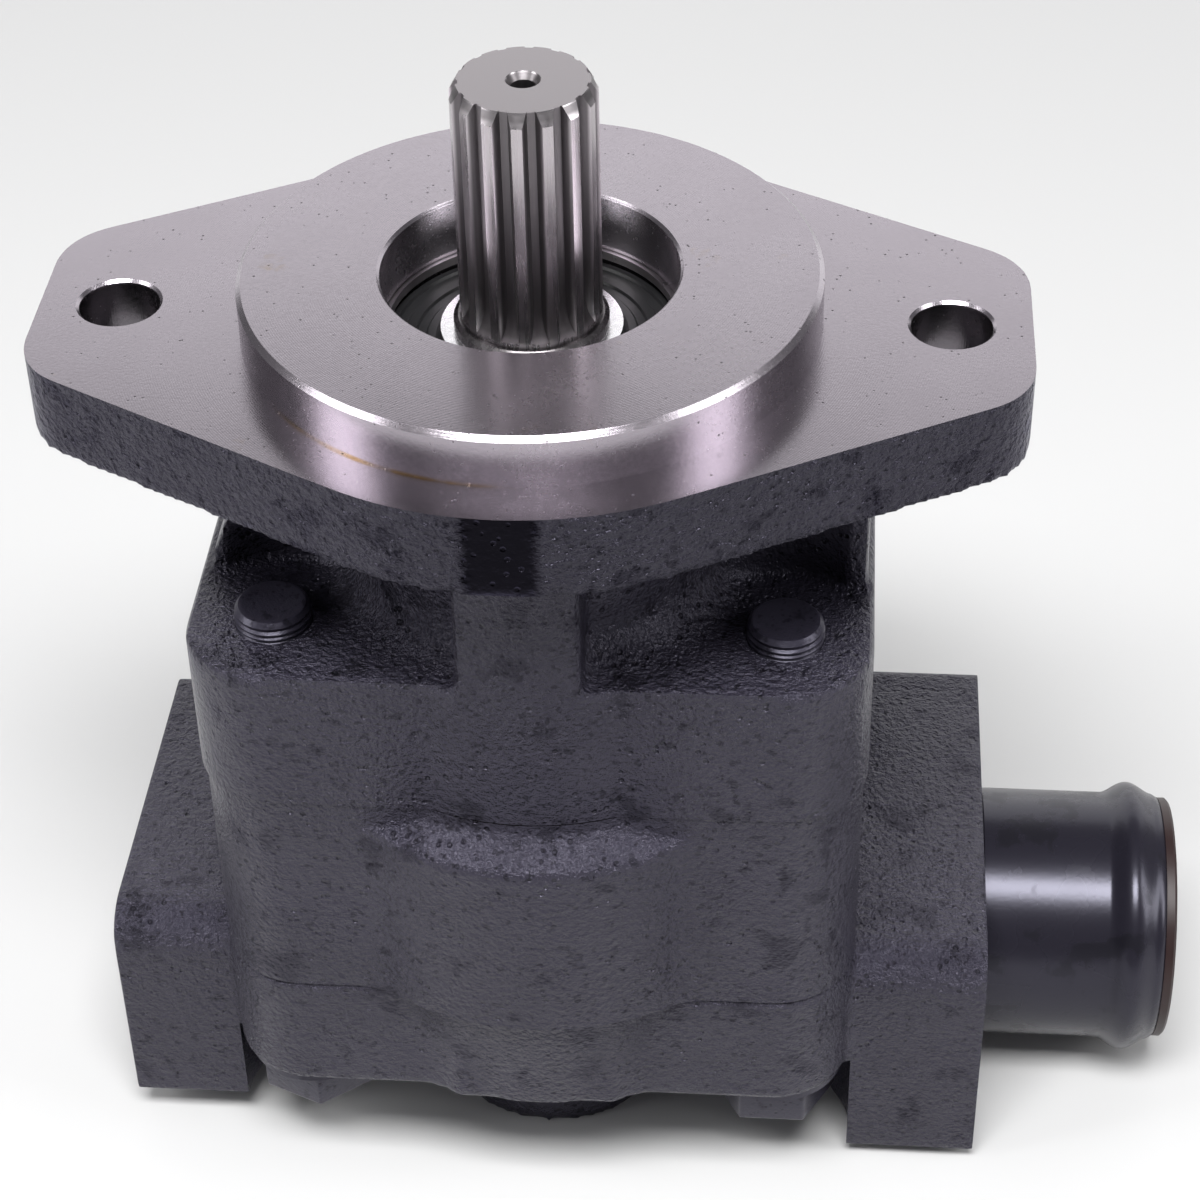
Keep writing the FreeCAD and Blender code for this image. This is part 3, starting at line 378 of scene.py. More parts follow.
def shaft_steel(name):
    """Ground journals and bright hobbed lands, with painted shade darkening the spline gaps and the end face, a
    darker collar and a near-white painted highlight on the shoulder.
    """
    colour = Vector(bpy.context.scene.pump_finish.steel)
    finish = Finish(name, Metallic=1.0)
    radius = finish.radius_about_z()
    height = finish.axis("Z")
    on_spline = height.above(0.2 * MM, 0.6 * MM) * height.below(45.8 * MM, 0.2 * MM)
    gap = on_spline * radius.below(12.15 * MM, 0.7 * MM)
    sides = height.below(45.6 * MM, 0.3 * MM)
    drawn = finish.noise(900.0, detail=3.0, vector=finish.stretched(1.0, 1.0, 0.03))
    streaks = drawn * sides + (1 - sides) * 0.5
    cloud = finish.noise(110.0, detail=3.0)
    collar = height.above(-1.7 * MM, 0.1 * MM) * height.below(1.2 * MM, 0.8 * MM)
    shoulder = height.below(-1.75 * MM, 0.05 * MM) * height.above(-1.9 * MM, 0.1 * MM)
    bright = finish.blend(streaks * 0.6 + cloud * 0.4, tuple(colour * 0.80), tuple(colour * 1.16))
    dark = finish.blend(streaks, tuple(colour * 0.20), tuple(colour * 0.44))
    # Painted shade: the end face above the sides is darkened.
    sided = finish.blend(sides, tuple(colour * 0.62), bright)
    # Painted shade darkens the spline gaps; the collar is darkened as well.
    gaps_and_collar_darkened = finish.blend((gap + collar).math("MINIMUM", 1.0), sided, dark)
    # Painted highlight: the shoulder is painted near white.
    finish.set(Base_Color=finish.blend(shoulder, gaps_and_collar_darkened, (0.96, 0.95, 0.97)))
    finish.set(Roughness=0.27 + gap * 0.12 + (streaks - 0.5) * 0.16)
    finish.bump(streaks, 0.012 * MM)
    return finish.material


def plain_steel(name):
    colour = Vector(bpy.context.scene.pump_finish.steel)
    finish = Finish(name, Metallic=1.0)
    cloud = finish.noise(300.0, detail=3.0)
    finish.set(Base_Color=finish.blend(cloud, tuple(colour * 0.7), tuple(colour)))
    finish.set(Roughness=0.30 + (cloud - 0.5) * 0.2)
    finish.bump(finish.noise(2500.0), 0.01 * MM)
    return finish.material


def bearing_bronze(name):
    finish = Finish(name, Metallic=1.0)
    cloud = finish.noise(260.0, detail=3.0)
    finish.set(Base_Color=finish.blend(cloud, (0.42, 0.25, 0.10), (0.60, 0.40, 0.18)))
    finish.set(Roughness=0.34 + (cloud - 0.5) * 0.2)
    finish.bump(finish.noise(1800.0), 0.01 * MM)
    return finish.material


def moulded(name, colour, roughness, mottle, grain):
    """Moulded rubber or plastic with a faint mottle and a fine surface grain."""
    base = Vector(colour)
    finish = Finish(name, IOR=1.5)
    cloud = finish.noise(240.0, detail=3.0)
    finish.set(Base_Color=finish.blend(cloud, tuple(base * (1 - mottle)), tuple(base * (1 + mottle))))
    finish.set(Roughness=roughness + (cloud - 0.5) * 0.16)
    finish.bump(finish.noise(2200.0, detail=2.0), grain)
    return finish.material


def tube_paint(name):
    """Smooth satin coating on drawn steel tube, with soft spots where it lies thicker."""
    paint = Vector(bpy.context.scene.pump_finish.paint)
    finish = Finish(name, IOR=1.47, Specular_Tint=(0.84, 0.83, 1.0))
    spots = finish.noise(150.0, detail=3.0, rough=0.6).above(0.60, 0.08)
    tone = finish.noise(45.0, detail=2.0)
    finish.set(Base_Color=finish.blend(spots * 0.7, tuple(paint * 0.60), tuple(paint * 0.20)))
    finish.set(Roughness=0.27 + (tone - 0.5) * 0.10 + spots * 0.06)
    finish.bump(finish.noise(1300.0, detail=2.0) * 0.5 + tone * 1.2, 0.03 * MM)
    return finish.material


def pale_floor(name):
    base = Vector(bpy.context.scene.pump_stage.floor_colour)
    finish = Finish(name, Roughness=0.8)
    finish.set(Base_Color=finish.blend(finish.noise(3.0), tuple(base * 0.99), tuple(base)))
    return finish.material


FINISH_MAKERS = {
    "cast_paint": lambda: black_paint("cast_paint", bpy.context.scene.pump_finish.pebble, 900.0, 0.21),
    "bolt_paint": lambda: black_paint("bolt_paint", 0.10 * MM, 1300.0, 0.32),
    "tube_paint": lambda: tube_paint("tube_paint"),
    "machined_iron": lambda: machined_iron("machined_iron"),
    "shaft_steel": lambda: shaft_steel("shaft_steel"),
    "plain_steel": lambda: plain_steel("plain_steel"),
    "bearing_bronze": lambda: bearing_bronze("bearing_bronze"),
    "nitrile": lambda: moulded("nitrile", (0.012, 0.012, 0.013), 0.42, 0.2, 0.012 * MM),
    "backup_plastic": lambda: moulded("backup_plastic", (0.72, 0.70, 0.64), 0.5, 0.06, 0.01 * MM),
    "plug_plastic": lambda: moulded("plug_plastic", tuple(bpy.context.scene.pump_finish.plug), 0.45, 0.12,
                                    0.012 * MM),
    "pale_floor": lambda: pale_floor("pale_floor"),
}


def finish_named(name):
    return bpy.data.materials.get(name) or FINISH_MAKERS[name]()


# ------------------------------------------------------------------ shells in millimetres

def upright_edges(shell):
    return [edge for edge in shell.edges
            if (edge.verts[0].co - edge.verts[1].co).xy.length < 1e-4]


def level_edges(shell, level):
    return [edge for edge in shell.edges if all(abs(v.co.z - level) < 1e-4 for v in edge.verts)]


def round_off(shell, edges, radius, steps=6):
    bmesh.ops.bevel(shell, geom=edges, offset=radius, offset_type="OFFSET", segments=steps, profile=0.5,
                    affect="EDGES", material=-1, clamp_overlap=True)


def block(low, high, corner=0.0, corner_steps=14):
    """Box between two corners, with its upright edges rounded."""
    shell = bmesh.new()
    size = Vector(high) - Vector(low)
    middle = (Vector(high) + Vector(low)) / 2
    bmesh.ops.create_cube(shell, size=1.0, matrix=Matrix.Translation(middle) @ Matrix.Diagonal((*size, 1.0)))
    if corner:
        round_off(shell, upright_edges(shell), corner, corner_steps)
    return shell


def disc(radius, z_low, z_high, x=0.0, y=0.0, steps=ROUND_STEPS):
    shell = bmesh.new()
    bmesh.ops.create_cone(shell, cap_ends=True, cap_tris=False, segments=steps, radius1=radius,
                          radius2=radius, depth=z_high - z_low,
                          matrix=Matrix.Translation((x, y, (z_high + z_low) / 2)))
    return shell


def side_disc(radius, x_low, x_high, y, z, steps=96):
    """Cylinder along X."""
    shell = disc(radius, x_low, x_high, 0.0, 0.0, steps)
    lay_along_x(shell, y, z)
    return shell


def lay_along_x(shell, y, z):
    bmesh.ops.rotate(shell, verts=shell.verts, cent=(0, 0, 0), matrix=Matrix.Rotation(math.pi / 2, 3, "Y"))
    bmesh.ops.translate(shell, verts=shell.verts, vec=(0, y, z))


def turned(profile, x=0.0, y=0.0, steps=ROUND_STEPS):
    """Closed shell spun from a loop of (radius, height) points."""
    shell = bmesh.new()
    points = [shell.verts.new((radius, 0, height)) for radius, height in profile]
    loop = [shell.edges.new(pair) for pair in zip(points, points[1:] + points[:1])
            if pair[0].co.x > 1e-6 or pair[1].co.x > 1e-6]
    bmesh.ops.spin(shell, geom=points + loop, cent=(0, 0, 0), axis=(0, 0, 1), angle=FULL_TURN, steps=steps,
                   use_merge=True, use_duplicate=False)
    bmesh.ops.remove_doubles(shell, verts=shell.verts, dist=1e-4)
    bmesh.ops.recalc_face_normals(shell, faces=shell.faces)
    bmesh.ops.translate(shell, verts=shell.verts, vec=(x, y, 0))
    return shell


def hull_of(shells):
    """Convex skin over several shells."""
    shell = gathered(shells)
    made = bmesh.ops.convex_hull(shell, input=shell.verts)
    inner = made["geom_interior"] + made["geom_unused"]
    loose = {item for item in inner if isinstance(item, bmesh.types.BMVert)}
    bmesh.ops.delete(shell, geom=list(loose), context="VERTS")
    hull_faces = {item for item in made["geom"] if isinstance(item, bmesh.types.BMFace)}
    old_faces = [face for face in shell.faces if face not in hull_faces]
    bmesh.ops.delete(shell, geom=old_faces, context="FACES_ONLY")
    bmesh.ops.recalc_face_normals(shell, faces=shell.faces)
    return shell


def gathered(shells):
    """One bmesh that holds several shells."""
    whole = bmesh.new()
    for shell in shells:
        passing = bpy.data.meshes.new("passing")
        shell.to_mesh(passing)
        shell.free()
        whole.from_mesh(passing)
        bpy.data.meshes.remove(passing)
    return whole


def as_piece(name, shell, finish):
    """Object in metres, at the origin, from a shell in millimetres."""
    bmesh.ops.scale(shell, verts=shell.verts, vec=(MM, MM, MM))
    mesh = bpy.data.meshes.new(name)
    shell.to_mesh(mesh)
    shell.free()
    piece = bpy.data.objects.new(name, mesh)
    bpy.context.scene.collection.objects.link(piece)
    mesh.materials.append(finish_named(finish))
    return piece


def combined(shell, tool, operation):
    """Shell in millimetres after a boolean with another shell."""
    piece = as_piece("combined", shell, "cast_paint")
    machine(piece, tool, "cast_paint", operation)
    result = bmesh.new()
    result.from_mesh(piece.data)
    bmesh.ops.scale(result, verts=result.verts, vec=(1 / MM, 1 / MM, 1 / MM))
    mesh = piece.data
    bpy.data.objects.remove(piece)
    bpy.data.meshes.remove(mesh)
    return result


def settled(piece):
    """Applies the piece's modifiers, which have to leave something of it."""
    shaped = piece.evaluated_get(bpy.context.evaluated_depsgraph_get())
    mesh = bpy.data.meshes.new_from_object(shaped)
    piece.modifiers.clear()
    old = piece.data
    piece.data = mesh
    mesh.name = piece.name
    bpy.data.meshes.remove(old)
    if not mesh.polygons:
        raise RuntimeError("a modifier left nothing of " + piece.name)
    return piece


def cast(name, shells, finish):
    """Fuses overlapping shells into one skin and softens it, as a sand casting is."""
    settings = bpy.context.scene.pump_casting
    piece = as_piece(name, gathered(shells), finish)
    fuse = piece.modifiers.new("fuse", "REMESH")
    fuse.mode = "VOXEL"
    fuse.voxel_size = settings.voxel * 1.0
    soften = piece.modifiers.new("soften", "SMOOTH")
    soften.factor = 0.5
    soften.iterations = settings.soften
    return settled(piece)


def machine(piece, shell, finish, operation="DIFFERENCE"):
    """Cuts a shell from a piece, or joins it on, and gives the new faces the shell's finish."""
    tool = as_piece("tool", shell, finish)
    cut = piece.modifiers.new("cut", "BOOLEAN")
    cut.object = tool
    cut.operation = operation
    cut.solver = "MANIFOLD"
    cut.material_mode = "TRANSFER"
    settled(piece)
    mesh = tool.data
    bpy.data.objects.remove(tool)
    bpy.data.meshes.remove(mesh)


def shade(piece, angle=33.0):
    """Smooth shading, with sharp edges where the surface turns by more than the angle."""
    piece.data.shade_smooth()
    piece.data.set_sharp_from_angle(angle=math.radians(angle))


def seat(piece, node):
    """Puts the piece on the housing and hides the CAD node that it stands for."""
    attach(piece, "housing")
    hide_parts(node)


# ------------------------------------------------------------------ castings

def outline_body(half_width, half_depth, z_low, z_high):
    return block((-half_width, MID_Y - half_depth, z_low), (half_width, MID_Y + half_depth, z_high), 16.0)


def lobe_blends(radius, z_low, z_high):
    """Wedges that blend both sides of the two lobes into the flat faces in concave curves."""
    drop = HOUSING_FRONT + BLEND_RADIUS
    centre_x = math.sqrt((radius + BLEND_RADIUS) ** 2 - drop ** 2)
    wedges = []
    for side in (-1, 1):
        near_x, far_x = sorted((side * (centre_x - BLEND_RADIUS), side * centre_x))
        for face_y, outward in ((-HOUSING_FRONT, -1), (DRIVEN_Y + HOUSING_FRONT, 1)):
            low_y, high_y = sorted((face_y - outward * 2, face_y + outward * 3))
            wedge = block((near_x, low_y, z_low), (far_x, high_y, z_high))
            centre_y = face_y + outward * BLEND_RADIUS
            curve = disc(BLEND_RADIUS, z_low - 1, z_high + 1, side * centre_x, centre_y)
            wedges.append(combined(wedge, curve, "DIFFERENCE"))
    return wedges


def rear_block(shelf, flange_bottom):
    """Block behind the neck with a slanted left side and round reliefs about the bolts."""
    shell = bmesh.new()
    outline = [(-59.0, shelf - 5), (60.5, shelf - 5), (60.5, flange_bottom + 2), (-46.0, flange_bottom + 2),
               (-59.0, shelf + 4)]
    face = shell.faces.new([shell.verts.new((x, -10.0, z)) for x, z in outline])
    grown = bmesh.ops.extrude_face_region(shell, geom=[face])
    moved = [item for item in grown["geom"] if isinstance(item, bmesh.types.BMVert)]
    bmesh.ops.translate(shell, verts=moved, vec=(0, 68.5, 0))
    bmesh.ops.recalc_face_normals(shell, faces=shell.faces)
    for x, y in BOLT_AXES:
        shell = combined(shell, disc(18.0, shelf, flange_bottom + 5, x, y, 72), "DIFFERENCE")
    return shell


def make_shaft_end_cover():
    settings = bpy.context.scene.pump_casting
    flange_bottom = -settings.flange_thickness / MM
    shelf = settings.shelf_level / MM
    half_gap = settings.seam_gap / MM / 2
    above = 3.0
    ear_radius = 14.0
    ears = [disc(ear_radius, flange_bottom, above, sx * (EAR_END_X - ear_radius), sy * 12.25, 48)
            for sx in (-1, 1) for sy in (-1, 1)]
    flange = hull_of([disc(59.5, flange_bottom, above)] + ears)
    body = outline_body(COVER_HALF_WIDTH, MID_Y + 41.0, HOUSING_TOP - above, shelf)
    bulge = disc(FRONT_BULGE_RADIUS, HOUSING_TOP - above, shelf)
    fillet = 8.0
    neck_radius = 34.0
    curve = [(neck_radius + fillet * (1 - math.cos(turn)), shelf + fillet * (1 - math.sin(turn)))
             for turn in (math.pi / 2 * step / 8 for step in range(8, -1, -1))]
    neck = turned([(0, shelf - 6), (neck_radius + fillet, shelf - 6)] + curve
                  + [(neck_radius, flange_bottom + 2), (0, flange_bottom + 2)])
    rib = combined(block((-11.0, -60.0, HOUSING_TOP), (11.0, 0.0, flange_bottom + 2)),
                   disc(FRONT_BULGE_RADIUS, HOUSING_TOP - 1, flange_bottom + 3), "INTERSECT")
    boss = disc(26.0, shelf - 5, -40.0, 0.0, DRIVEN_Y)
    round_off(boss, level_edges(boss, -40.0), 3.0)
    shells = [flange, body, bulge, neck, rib, boss, rear_block(shelf, flange_bottom)]
    piece = cast("shaft_end_casting", shells, "cast_paint")
    # The top is face-milled, the pilot is turned and the joint face is ground.
    machine(piece, block((-WIDE, -WIDE, 0.0), (WIDE, WIDE, 20.0)), "machined_iron")
    below_joint = block((-WIDE, -WIDE, HOUSING_TOP - 20), (WIDE, WIDE, HOUSING_TOP + half_gap))
    machine(piece, below_joint, "machined_iron")
    chamfer = 0.9
    pilot = turned([(0, -2.0), (PILOT_RADIUS, -2.0), (PILOT_RADIUS, PILOT_HEIGHT - chamfer),
                    (PILOT_RADIUS - chamfer, PILOT_HEIGHT), (0, PILOT_HEIGHT)])
    machine(piece, pilot, "machined_iron", "UNION")
    recess = SEAL_RECESS_RADIUS
    recess_floor = -12.0
    shaft_hole = 18.0
    groove_top, groove_bottom, groove_radius = -1.2, -3.0, 27.3
    beyond_pilot = PILOT_HEIGHT + 1.0
    stepped = turned([(0, HOUSING_TOP - 1), (BUSHING_BORE_RADIUS, HOUSING_TOP - 1),
                      (BUSHING_BORE_RADIUS, shelf), (shaft_hole, shelf), (shaft_hole, recess_floor),
                      (recess, recess_floor), (recess, groove_bottom), (groove_radius, groove_bottom),
                      (groove_radius, groove_top), (recess, groove_top), (recess, PILOT_HEIGHT - 0.5),
                      (recess + 0.5, PILOT_HEIGHT), (recess + 0.5, beyond_pilot), (0, beyond_pilot)])
    machine(piece, stepped, "machined_iron")
    machine(piece, disc(BUSHING_BORE_RADIUS, HOUSING_TOP - 1, shelf, 0, DRIVEN_Y), "machined_iron")
    for side in (-1, 1):
        hole = turned([(0, flange_bottom - 2), (FLANGE_HOLE_RADIUS, flange_bottom - 2),
                       (FLANGE_HOLE_RADIUS, -0.5), (FLANGE_HOLE_RADIUS + 0.5, 0.0),
                       (FLANGE_HOLE_RADIUS + 0.5, 1.0), (0, 1.0)], side * FLANGE_HOLE_X, 0.0, 72)
        machine(piece, hole, "machined_iron")
    for x, y in BOLT_AXES:
        machine(piece, disc(BOLT_HOLE_RADIUS, HOUSING_TOP - 1, shelf + 1, x, y, 48), "bolt_paint")
    shade(piece, 24.0)
    seat(piece, "shaft_end_cover")
    return piece


def make_gear_housing():
    half_gap = bpy.context.scene.pump_casting.seam_gap / MM / 2
    beyond = 3.0
    low = HOUSING_BOTTOM - beyond
    body = outline_body(HOUSING_HALF_WIDTH, MID_Y + HOUSING_FRONT, low, HOUSING_TOP + beyond)
    bulge = disc(FRONT_BULGE_RADIUS, LOBE_TOP - 5, HOUSING_TOP + beyond)
    crest = [(LOBE_RADIUS, LOBE_TOP - CREST_DROP), (LOBE_RADIUS - CREST_DEPTH, LOBE_TOP)]
    lobes = [turned([(0, low), (LOBE_RADIUS, low)] + crest + [(0, LOBE_TOP)], x, y) for x, y in SHAFT_AXES]
    blends = lobe_blends(LOBE_RADIUS, low, LOBE_TOP - 3.0)
    piece = cast("gear_housing_casting", [body, bulge] + lobes + blends, "cast_paint")
    for low, high in ((HOUSING_TOP, HOUSING_TOP + 20), (HOUSING_BOTTOM - 20, HOUSING_BOTTOM + half_gap)):
        machine(piece, block((-WIDE, -WIDE, low), (WIDE, WIDE, high)), "machined_iron")
    through = (HOUSING_BOTTOM - 1, HOUSING_TOP + 1)
    for x, y in SHAFT_AXES:
        machine(piece, disc(CHAMBER_RADIUS, *through, x, y), "machined_iron")
    for side in (-1, 1):
        machine(piece, disc(PORT_POCKET_RADIUS, *through, side * PORT_POCKET_X, MID_Y), "machined_iron")
    for x, y in BOLT_AXES:
        machine(piece, disc(BOLT_HOLE_RADIUS, *through, x, y, 48), "machined_iron")
    shade(piece)
    seat(piece, "gear_housing")
    return piece


def port_block(low, high):
    """Port block, heavily rounded along its front top edge."""
    shell = block(low, high)
    front_top = [edge for edge in shell.edges
                 if all(abs(v.co.y - low[1]) < 1e-4 and abs(v.co.z - high[2]) < 1e-4 for v in edge.verts)]
    round_off(shell, front_top, 8.0, 10)
    return shell


def make_port_end_cover():
    above = HOUSING_BOTTOM + 1
    plate = outline_body(HOUSING_HALF_WIDTH, MID_Y + HOUSING_FRONT, WASHER_TOP, HOUSING_BOTTOM)
    tapered = [(0, WASHER_TOP), (END_LOBE_BOTTOM_RADIUS, WASHER_TOP), (END_LOBE_TOP_RADIUS, HOUSING_BOTTOM),
               (0, HOUSING_BOTTOM)]
    lobes = [turned(tapered, x, y) for x, y in SHAFT_AXES]
    blends = lobe_blends(END_BLEND_LOBE_RADIUS, WASHER_TOP, HOUSING_BOTTOM)
    overlap = HOUSING_HALF_WIDTH - 3.2
    inlet = port_block((overlap, -29.0, -181.5), (PORT_FACE_X, 59.0, HOUSING_BOTTOM))
    outlet = port_block((PAD_FACE_X, -26.0, -177.7), (-overlap, 48.5, HOUSING_BOTTOM))
    bridge = block((-overlap - 2, -9.0, -177.0), (overlap + 2, 46.0, WASHER_TOP + 2))
    bosses = [disc(END_BOSS_RADIUS, BOSS_BOTTOM, WASHER_TOP + 2, x, y) for x, y in SHAFT_AXES]
    piece = cast("port_end_casting", [plate, inlet, outlet, bridge] + lobes + blends + bosses, "cast_paint")
    for x, y in BOLT_AXES:
        machine(piece, disc(WASHER_RADIUS + 2.0, BOSS_BOTTOM - 1, WASHER_TOP, x, y, 64), "cast_paint")
        machine(piece, disc(BOLT_HOLE_RADIUS, WASHER_TOP - 1, above, x, y, 48), "machined_iron")
    machine(piece, side_disc(20.0, 24.0, PORT_FACE_X + 3, *TUBE_AXIS), "machined_iron")
    machine(piece, side_disc(23.45, 73.0, PORT_FACE_X + 3, *TUBE_AXIS), "machined_iron")
    machine(piece, side_disc(12.7, PAD_FACE_X - 3, -24.0, *PAD_AXIS), "machined_iron")
    for side_y in (-1, 1):
        for side_z in (-1, 1):
            y = PAD_AXIS[0] + side_y * PAD_SPACING[0] / 2
            z = PAD_AXIS[1] + side_z * PAD_SPACING[1] / 2
            hole = side_disc(PAD_HOLE_RADIUS, PAD_FACE_X - 3, PAD_FACE_X + 18.0, y, z, 48)
            machine(piece, hole, "machined_iron")
    milled = block((PAD_FACE_X - 20, -60, -200), (PAD_FACE_X + 0.3, 90, -100))
    machine(piece, milled, "machined_iron")
    for x, y in SHAFT_AXES:
        machine(piece, disc(BUSHING_BORE_RADIUS, -150.5, above, x, y), "machined_iron")
    for side, floor in ((1, TUBE_AXIS[1]), (-1, PAD_AXIS[1])):
        pocket = disc(PORT_POCKET_RADIUS, floor, above, side * PORT_POCKET_X, MID_Y, 64)
        machine(piece, pocket, "machined_iron")
    shade(piece)
    seat(piece, "port_end_cover")
    return piece


# ------------------------------------------------------------------ fasteners, tube and plugs

def threaded_profile(radius, z_low, z_high, pitch, depth):
    """Radius and height points of a screw's side, as rings of thread."""
    points = []
    turns = int((z_high - z_low) / pitch)
    for turn in range(turns):
        base = z_low + turn * pitch
        points += [(radius - depth, base), (radius, base + pitch * 0.36), (radius, base + pitch * 0.64)]
    points.append((radius - depth, z_low + turns * pitch))
    return points


def make_bolts():
    shells = []
    corner_radius = HEX_ACROSS_FLATS / math.sqrt(3)
    head_top = WASHER_BOTTOM
    shelf = bpy.context.scene.pump_casting.shelf_level / MM
    for index, (x, y) in enumerate(BOLT_AXES):
        tip = threaded_profile(BOLT_RADIUS, shelf - 1.0, BOLT_TIP - 1.2, 1.1, 0.45)
        shank = turned([(0, head_top - 1), (BOLT_RADIUS, head_top - 1), (BOLT_RADIUS, shelf - 1.6)] + tip
                       + [(BOLT_RADIUS - 0.2, BOLT_TIP - 0.9), (BOLT_RADIUS - 0.9, BOLT_TIP),
                          (BOLT_RADIUS - 1.5, BOLT_TIP), (BOLT_RADIUS - 2.1, BOLT_TIP - 0.35),
                          (0, BOLT_TIP - 0.5)], x, y, 72)
        head = disc(corner_radius, BOLT_HEAD_BOTTOM, head_top, 0, 0, 6)
        bmesh.ops.rotate(head, verts=head.verts, cent=(0, 0, 0),
                         matrix=Matrix.Rotation(math.radians(7 + 23 * index), 3, "Z"))
        bmesh.ops.translate(head, verts=head.verts, vec=(x, y, 0))
        round_off(head, upright_edges(head), 0.5, 3)
        round_off(head, level_edges(head, BOLT_HEAD_BOTTOM), 1.0, 3)
        shells += [shank, head]
    piece = as_piece("through_bolt_set", gathered(shells), "bolt_paint")
    shade(piece)
    seat(piece, "through_bolts")
    return piece


def make_washers():
    shells = []
    inner, outer, chamfer = BOLT_RADIUS + 0.5, WASHER_RADIUS, 0.4
    section = [(inner, WASHER_BOTTOM), (outer - chamfer, WASHER_BOTTOM), (outer, WASHER_BOTTOM + chamfer),
               (outer, WASHER_TOP - chamfer), (outer - chamfer, WASHER_TOP), (inner, WASHER_TOP)]
    for x, y in BOLT_AXES:
        shells.append(turned(section, x, y, 72))
    piece = as_piece("washer_set", gathered(shells), "bolt_paint")
    shade(piece)
    seat(piece, "bolt_washers")
    return piece


def make_inlet_tube():
    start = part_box("inlet_tube")[0].x / MM
    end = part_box("inlet_tube")[1].x / MM
    face = PORT_FACE_X
    bead_middle = end - 6.4
    bead_half = 5.2
    bead_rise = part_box("inlet_tube")[1].y / MM - TUBE_AXIS[0] - TUBE_RADIUS
    outside = [(20.0, start), (22.9, start), (23.4, start + 0.5), (23.4, face), (TUBE_RADIUS - 0.3, face),
               (TUBE_RADIUS, face + 0.3)]
    steps = 24
    for step in range(steps + 1):
        along = -1 + 2 * step / steps
        rise = bead_rise * (0.5 + 0.5 * math.cos(along * math.pi)) ** 0.8
        outside.append((TUBE_RADIUS + rise, bead_middle + along * bead_half))
    outside += [(TUBE_RADIUS - 0.35, end - 0.6), (TUBE_RADIUS - 0.7, end - 0.15), (TUBE_RADIUS - 1.1, end),
                (23.3, end), (22.9, end - 0.8), (22.9, face + 4.0), (20.0, face + 0.5)]
    shell = turned(outside)
    lay_along_x(shell, *TUBE_AXIS)
    piece = as_piece("beaded_tube", shell, "tube_paint")
    shade(piece)
    seat(piece, "inlet_tube")
    return piece


def make_plug(name, node, radius, mouth_x, inward, axis, rim_radius=None, rim=0.0):
    """Thin plastic cup with a rounded mouth, a raised button on its floor and any rim outside the port."""
    depth = 12.0 + rim
    wall = 1.6
    rim_radius = rim_radius or radius
    outside = [(0, depth), (radius - 1.0, depth), (radius, depth - 1.0), (radius, rim + 0.05),
               (rim_radius, rim + 0.05), (rim_radius, 0.5), (rim_radius - 0.5, 0.0)]
    inside = [(radius - wall + 0.4, 0.0), (radius - wall, 0.4), (radius - wall, depth - wall - 1.0),
              (radius - wall - 1.0, depth - wall), (radius * 0.28, depth - wall),
              (radius * 0.25, depth - wall - 1.0), (0, depth - wall - 1.0)]
    shell = turned([(r, mouth_x + inward * h) for r, h in outside + inside], 0, 0, 96)
    lay_along_x(shell, *axis)
    piece = as_piece(name, shell, "plug_plastic")
    shade(piece)
    seat(piece, node)
    return piece


# ------------------------------------------------------------------ shaft end and seal

def make_shaft_seal():
    """Rubber lip seal with moulded ridges round its face."""
    top = level_of("shaft_seal", 1)
    bottom = level_of("shaft_seal", 0)
    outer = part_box("shaft_seal")[1].x / MM
    lip = 16.05
    sleeve = [(outer, bottom), (outer, top - 0.45), (outer - 0.45, top), (outer - 1.5, top)]
    ridged_face = [(outer - 1.8, top - 0.5), (22.6, top - 0.5), (22.35, top - 0.15), (20.6, top - 0.15),
                   (20.3, top - 0.6), (18.8, top - 0.6), (18.4, top - 0.2), (17.0, top - 0.2)]
    dust_lip = [(lip, top - 0.9), (lip, top - 1.3), (17.0, top - 2.0)]
    main_lip = [(17.0, top - 4.2), (lip, top - 5.3), (lip, top - 5.6), (17.3, top - 6.9), (18.9, top - 6.9)]
    spring_groove = [(18.9, top - 6.2), (18.2, top - 5.9), (18.2, top - 4.9), (18.9, top - 4.6)]
    inside = [(18.9, top - 1.8), (25.1, top - 1.8), (25.1, bottom)]
    section = sleeve + ridged_face + dust_lip + main_lip + spring_groove + inside
    piece = as_piece("lip_seal", turned(section), "nitrile")
    shade(piece, 25.0)
    seat(piece, "shaft_seal")
    return piece


# ------------------------------------------------------------------ carried-over nodes

SLOT_FINISHES = {
    "painted_casting": "cast_paint",
    "painted_tube": "tube_paint",
    "black_bolt": "bolt_paint",
    "ground_steel": "plain_steel",
    "bronze": "bearing_bronze",
    "black_rubber": "nitrile",
    "white_backup": "backup_plastic",
    "red_plastic": "plug_plastic",
}


def finish_cad_nodes():
    slots = {part["node"]: part["material_slot"] for part in frame["record"]["subparts"]}
    for node, piece in frame["nodes"].items():
        finish = "shaft_steel" if node.endswith("gear_shaft") else SLOT_FINISHES[slots[node]]
        piece.data.materials.clear()
        piece.data.materials.append(finish_named(finish))
        piece.data.shade_smooth()
        piece.data.set_sharp_from_angle(angle=math.radians(30))


# ------------------------------------------------------------------ stage

def aim(item, place, target):
    item.location = place
    item.rotation_euler = (Vector(target) - Vector(place)).to_track_quat("-Z", "Y").to_euler()


def add_softbox(name, place, target, width, height, power):
    light = bpy.data.lights.new(name, "AREA")
    light.shape = "RECTANGLE"
    light.size = width
    light.size_y = height
    light.energy = power
    item = bpy.data.objects.new(name, light)
    bpy.context.scene.collection.objects.link(item)
    aim(item, place, target)


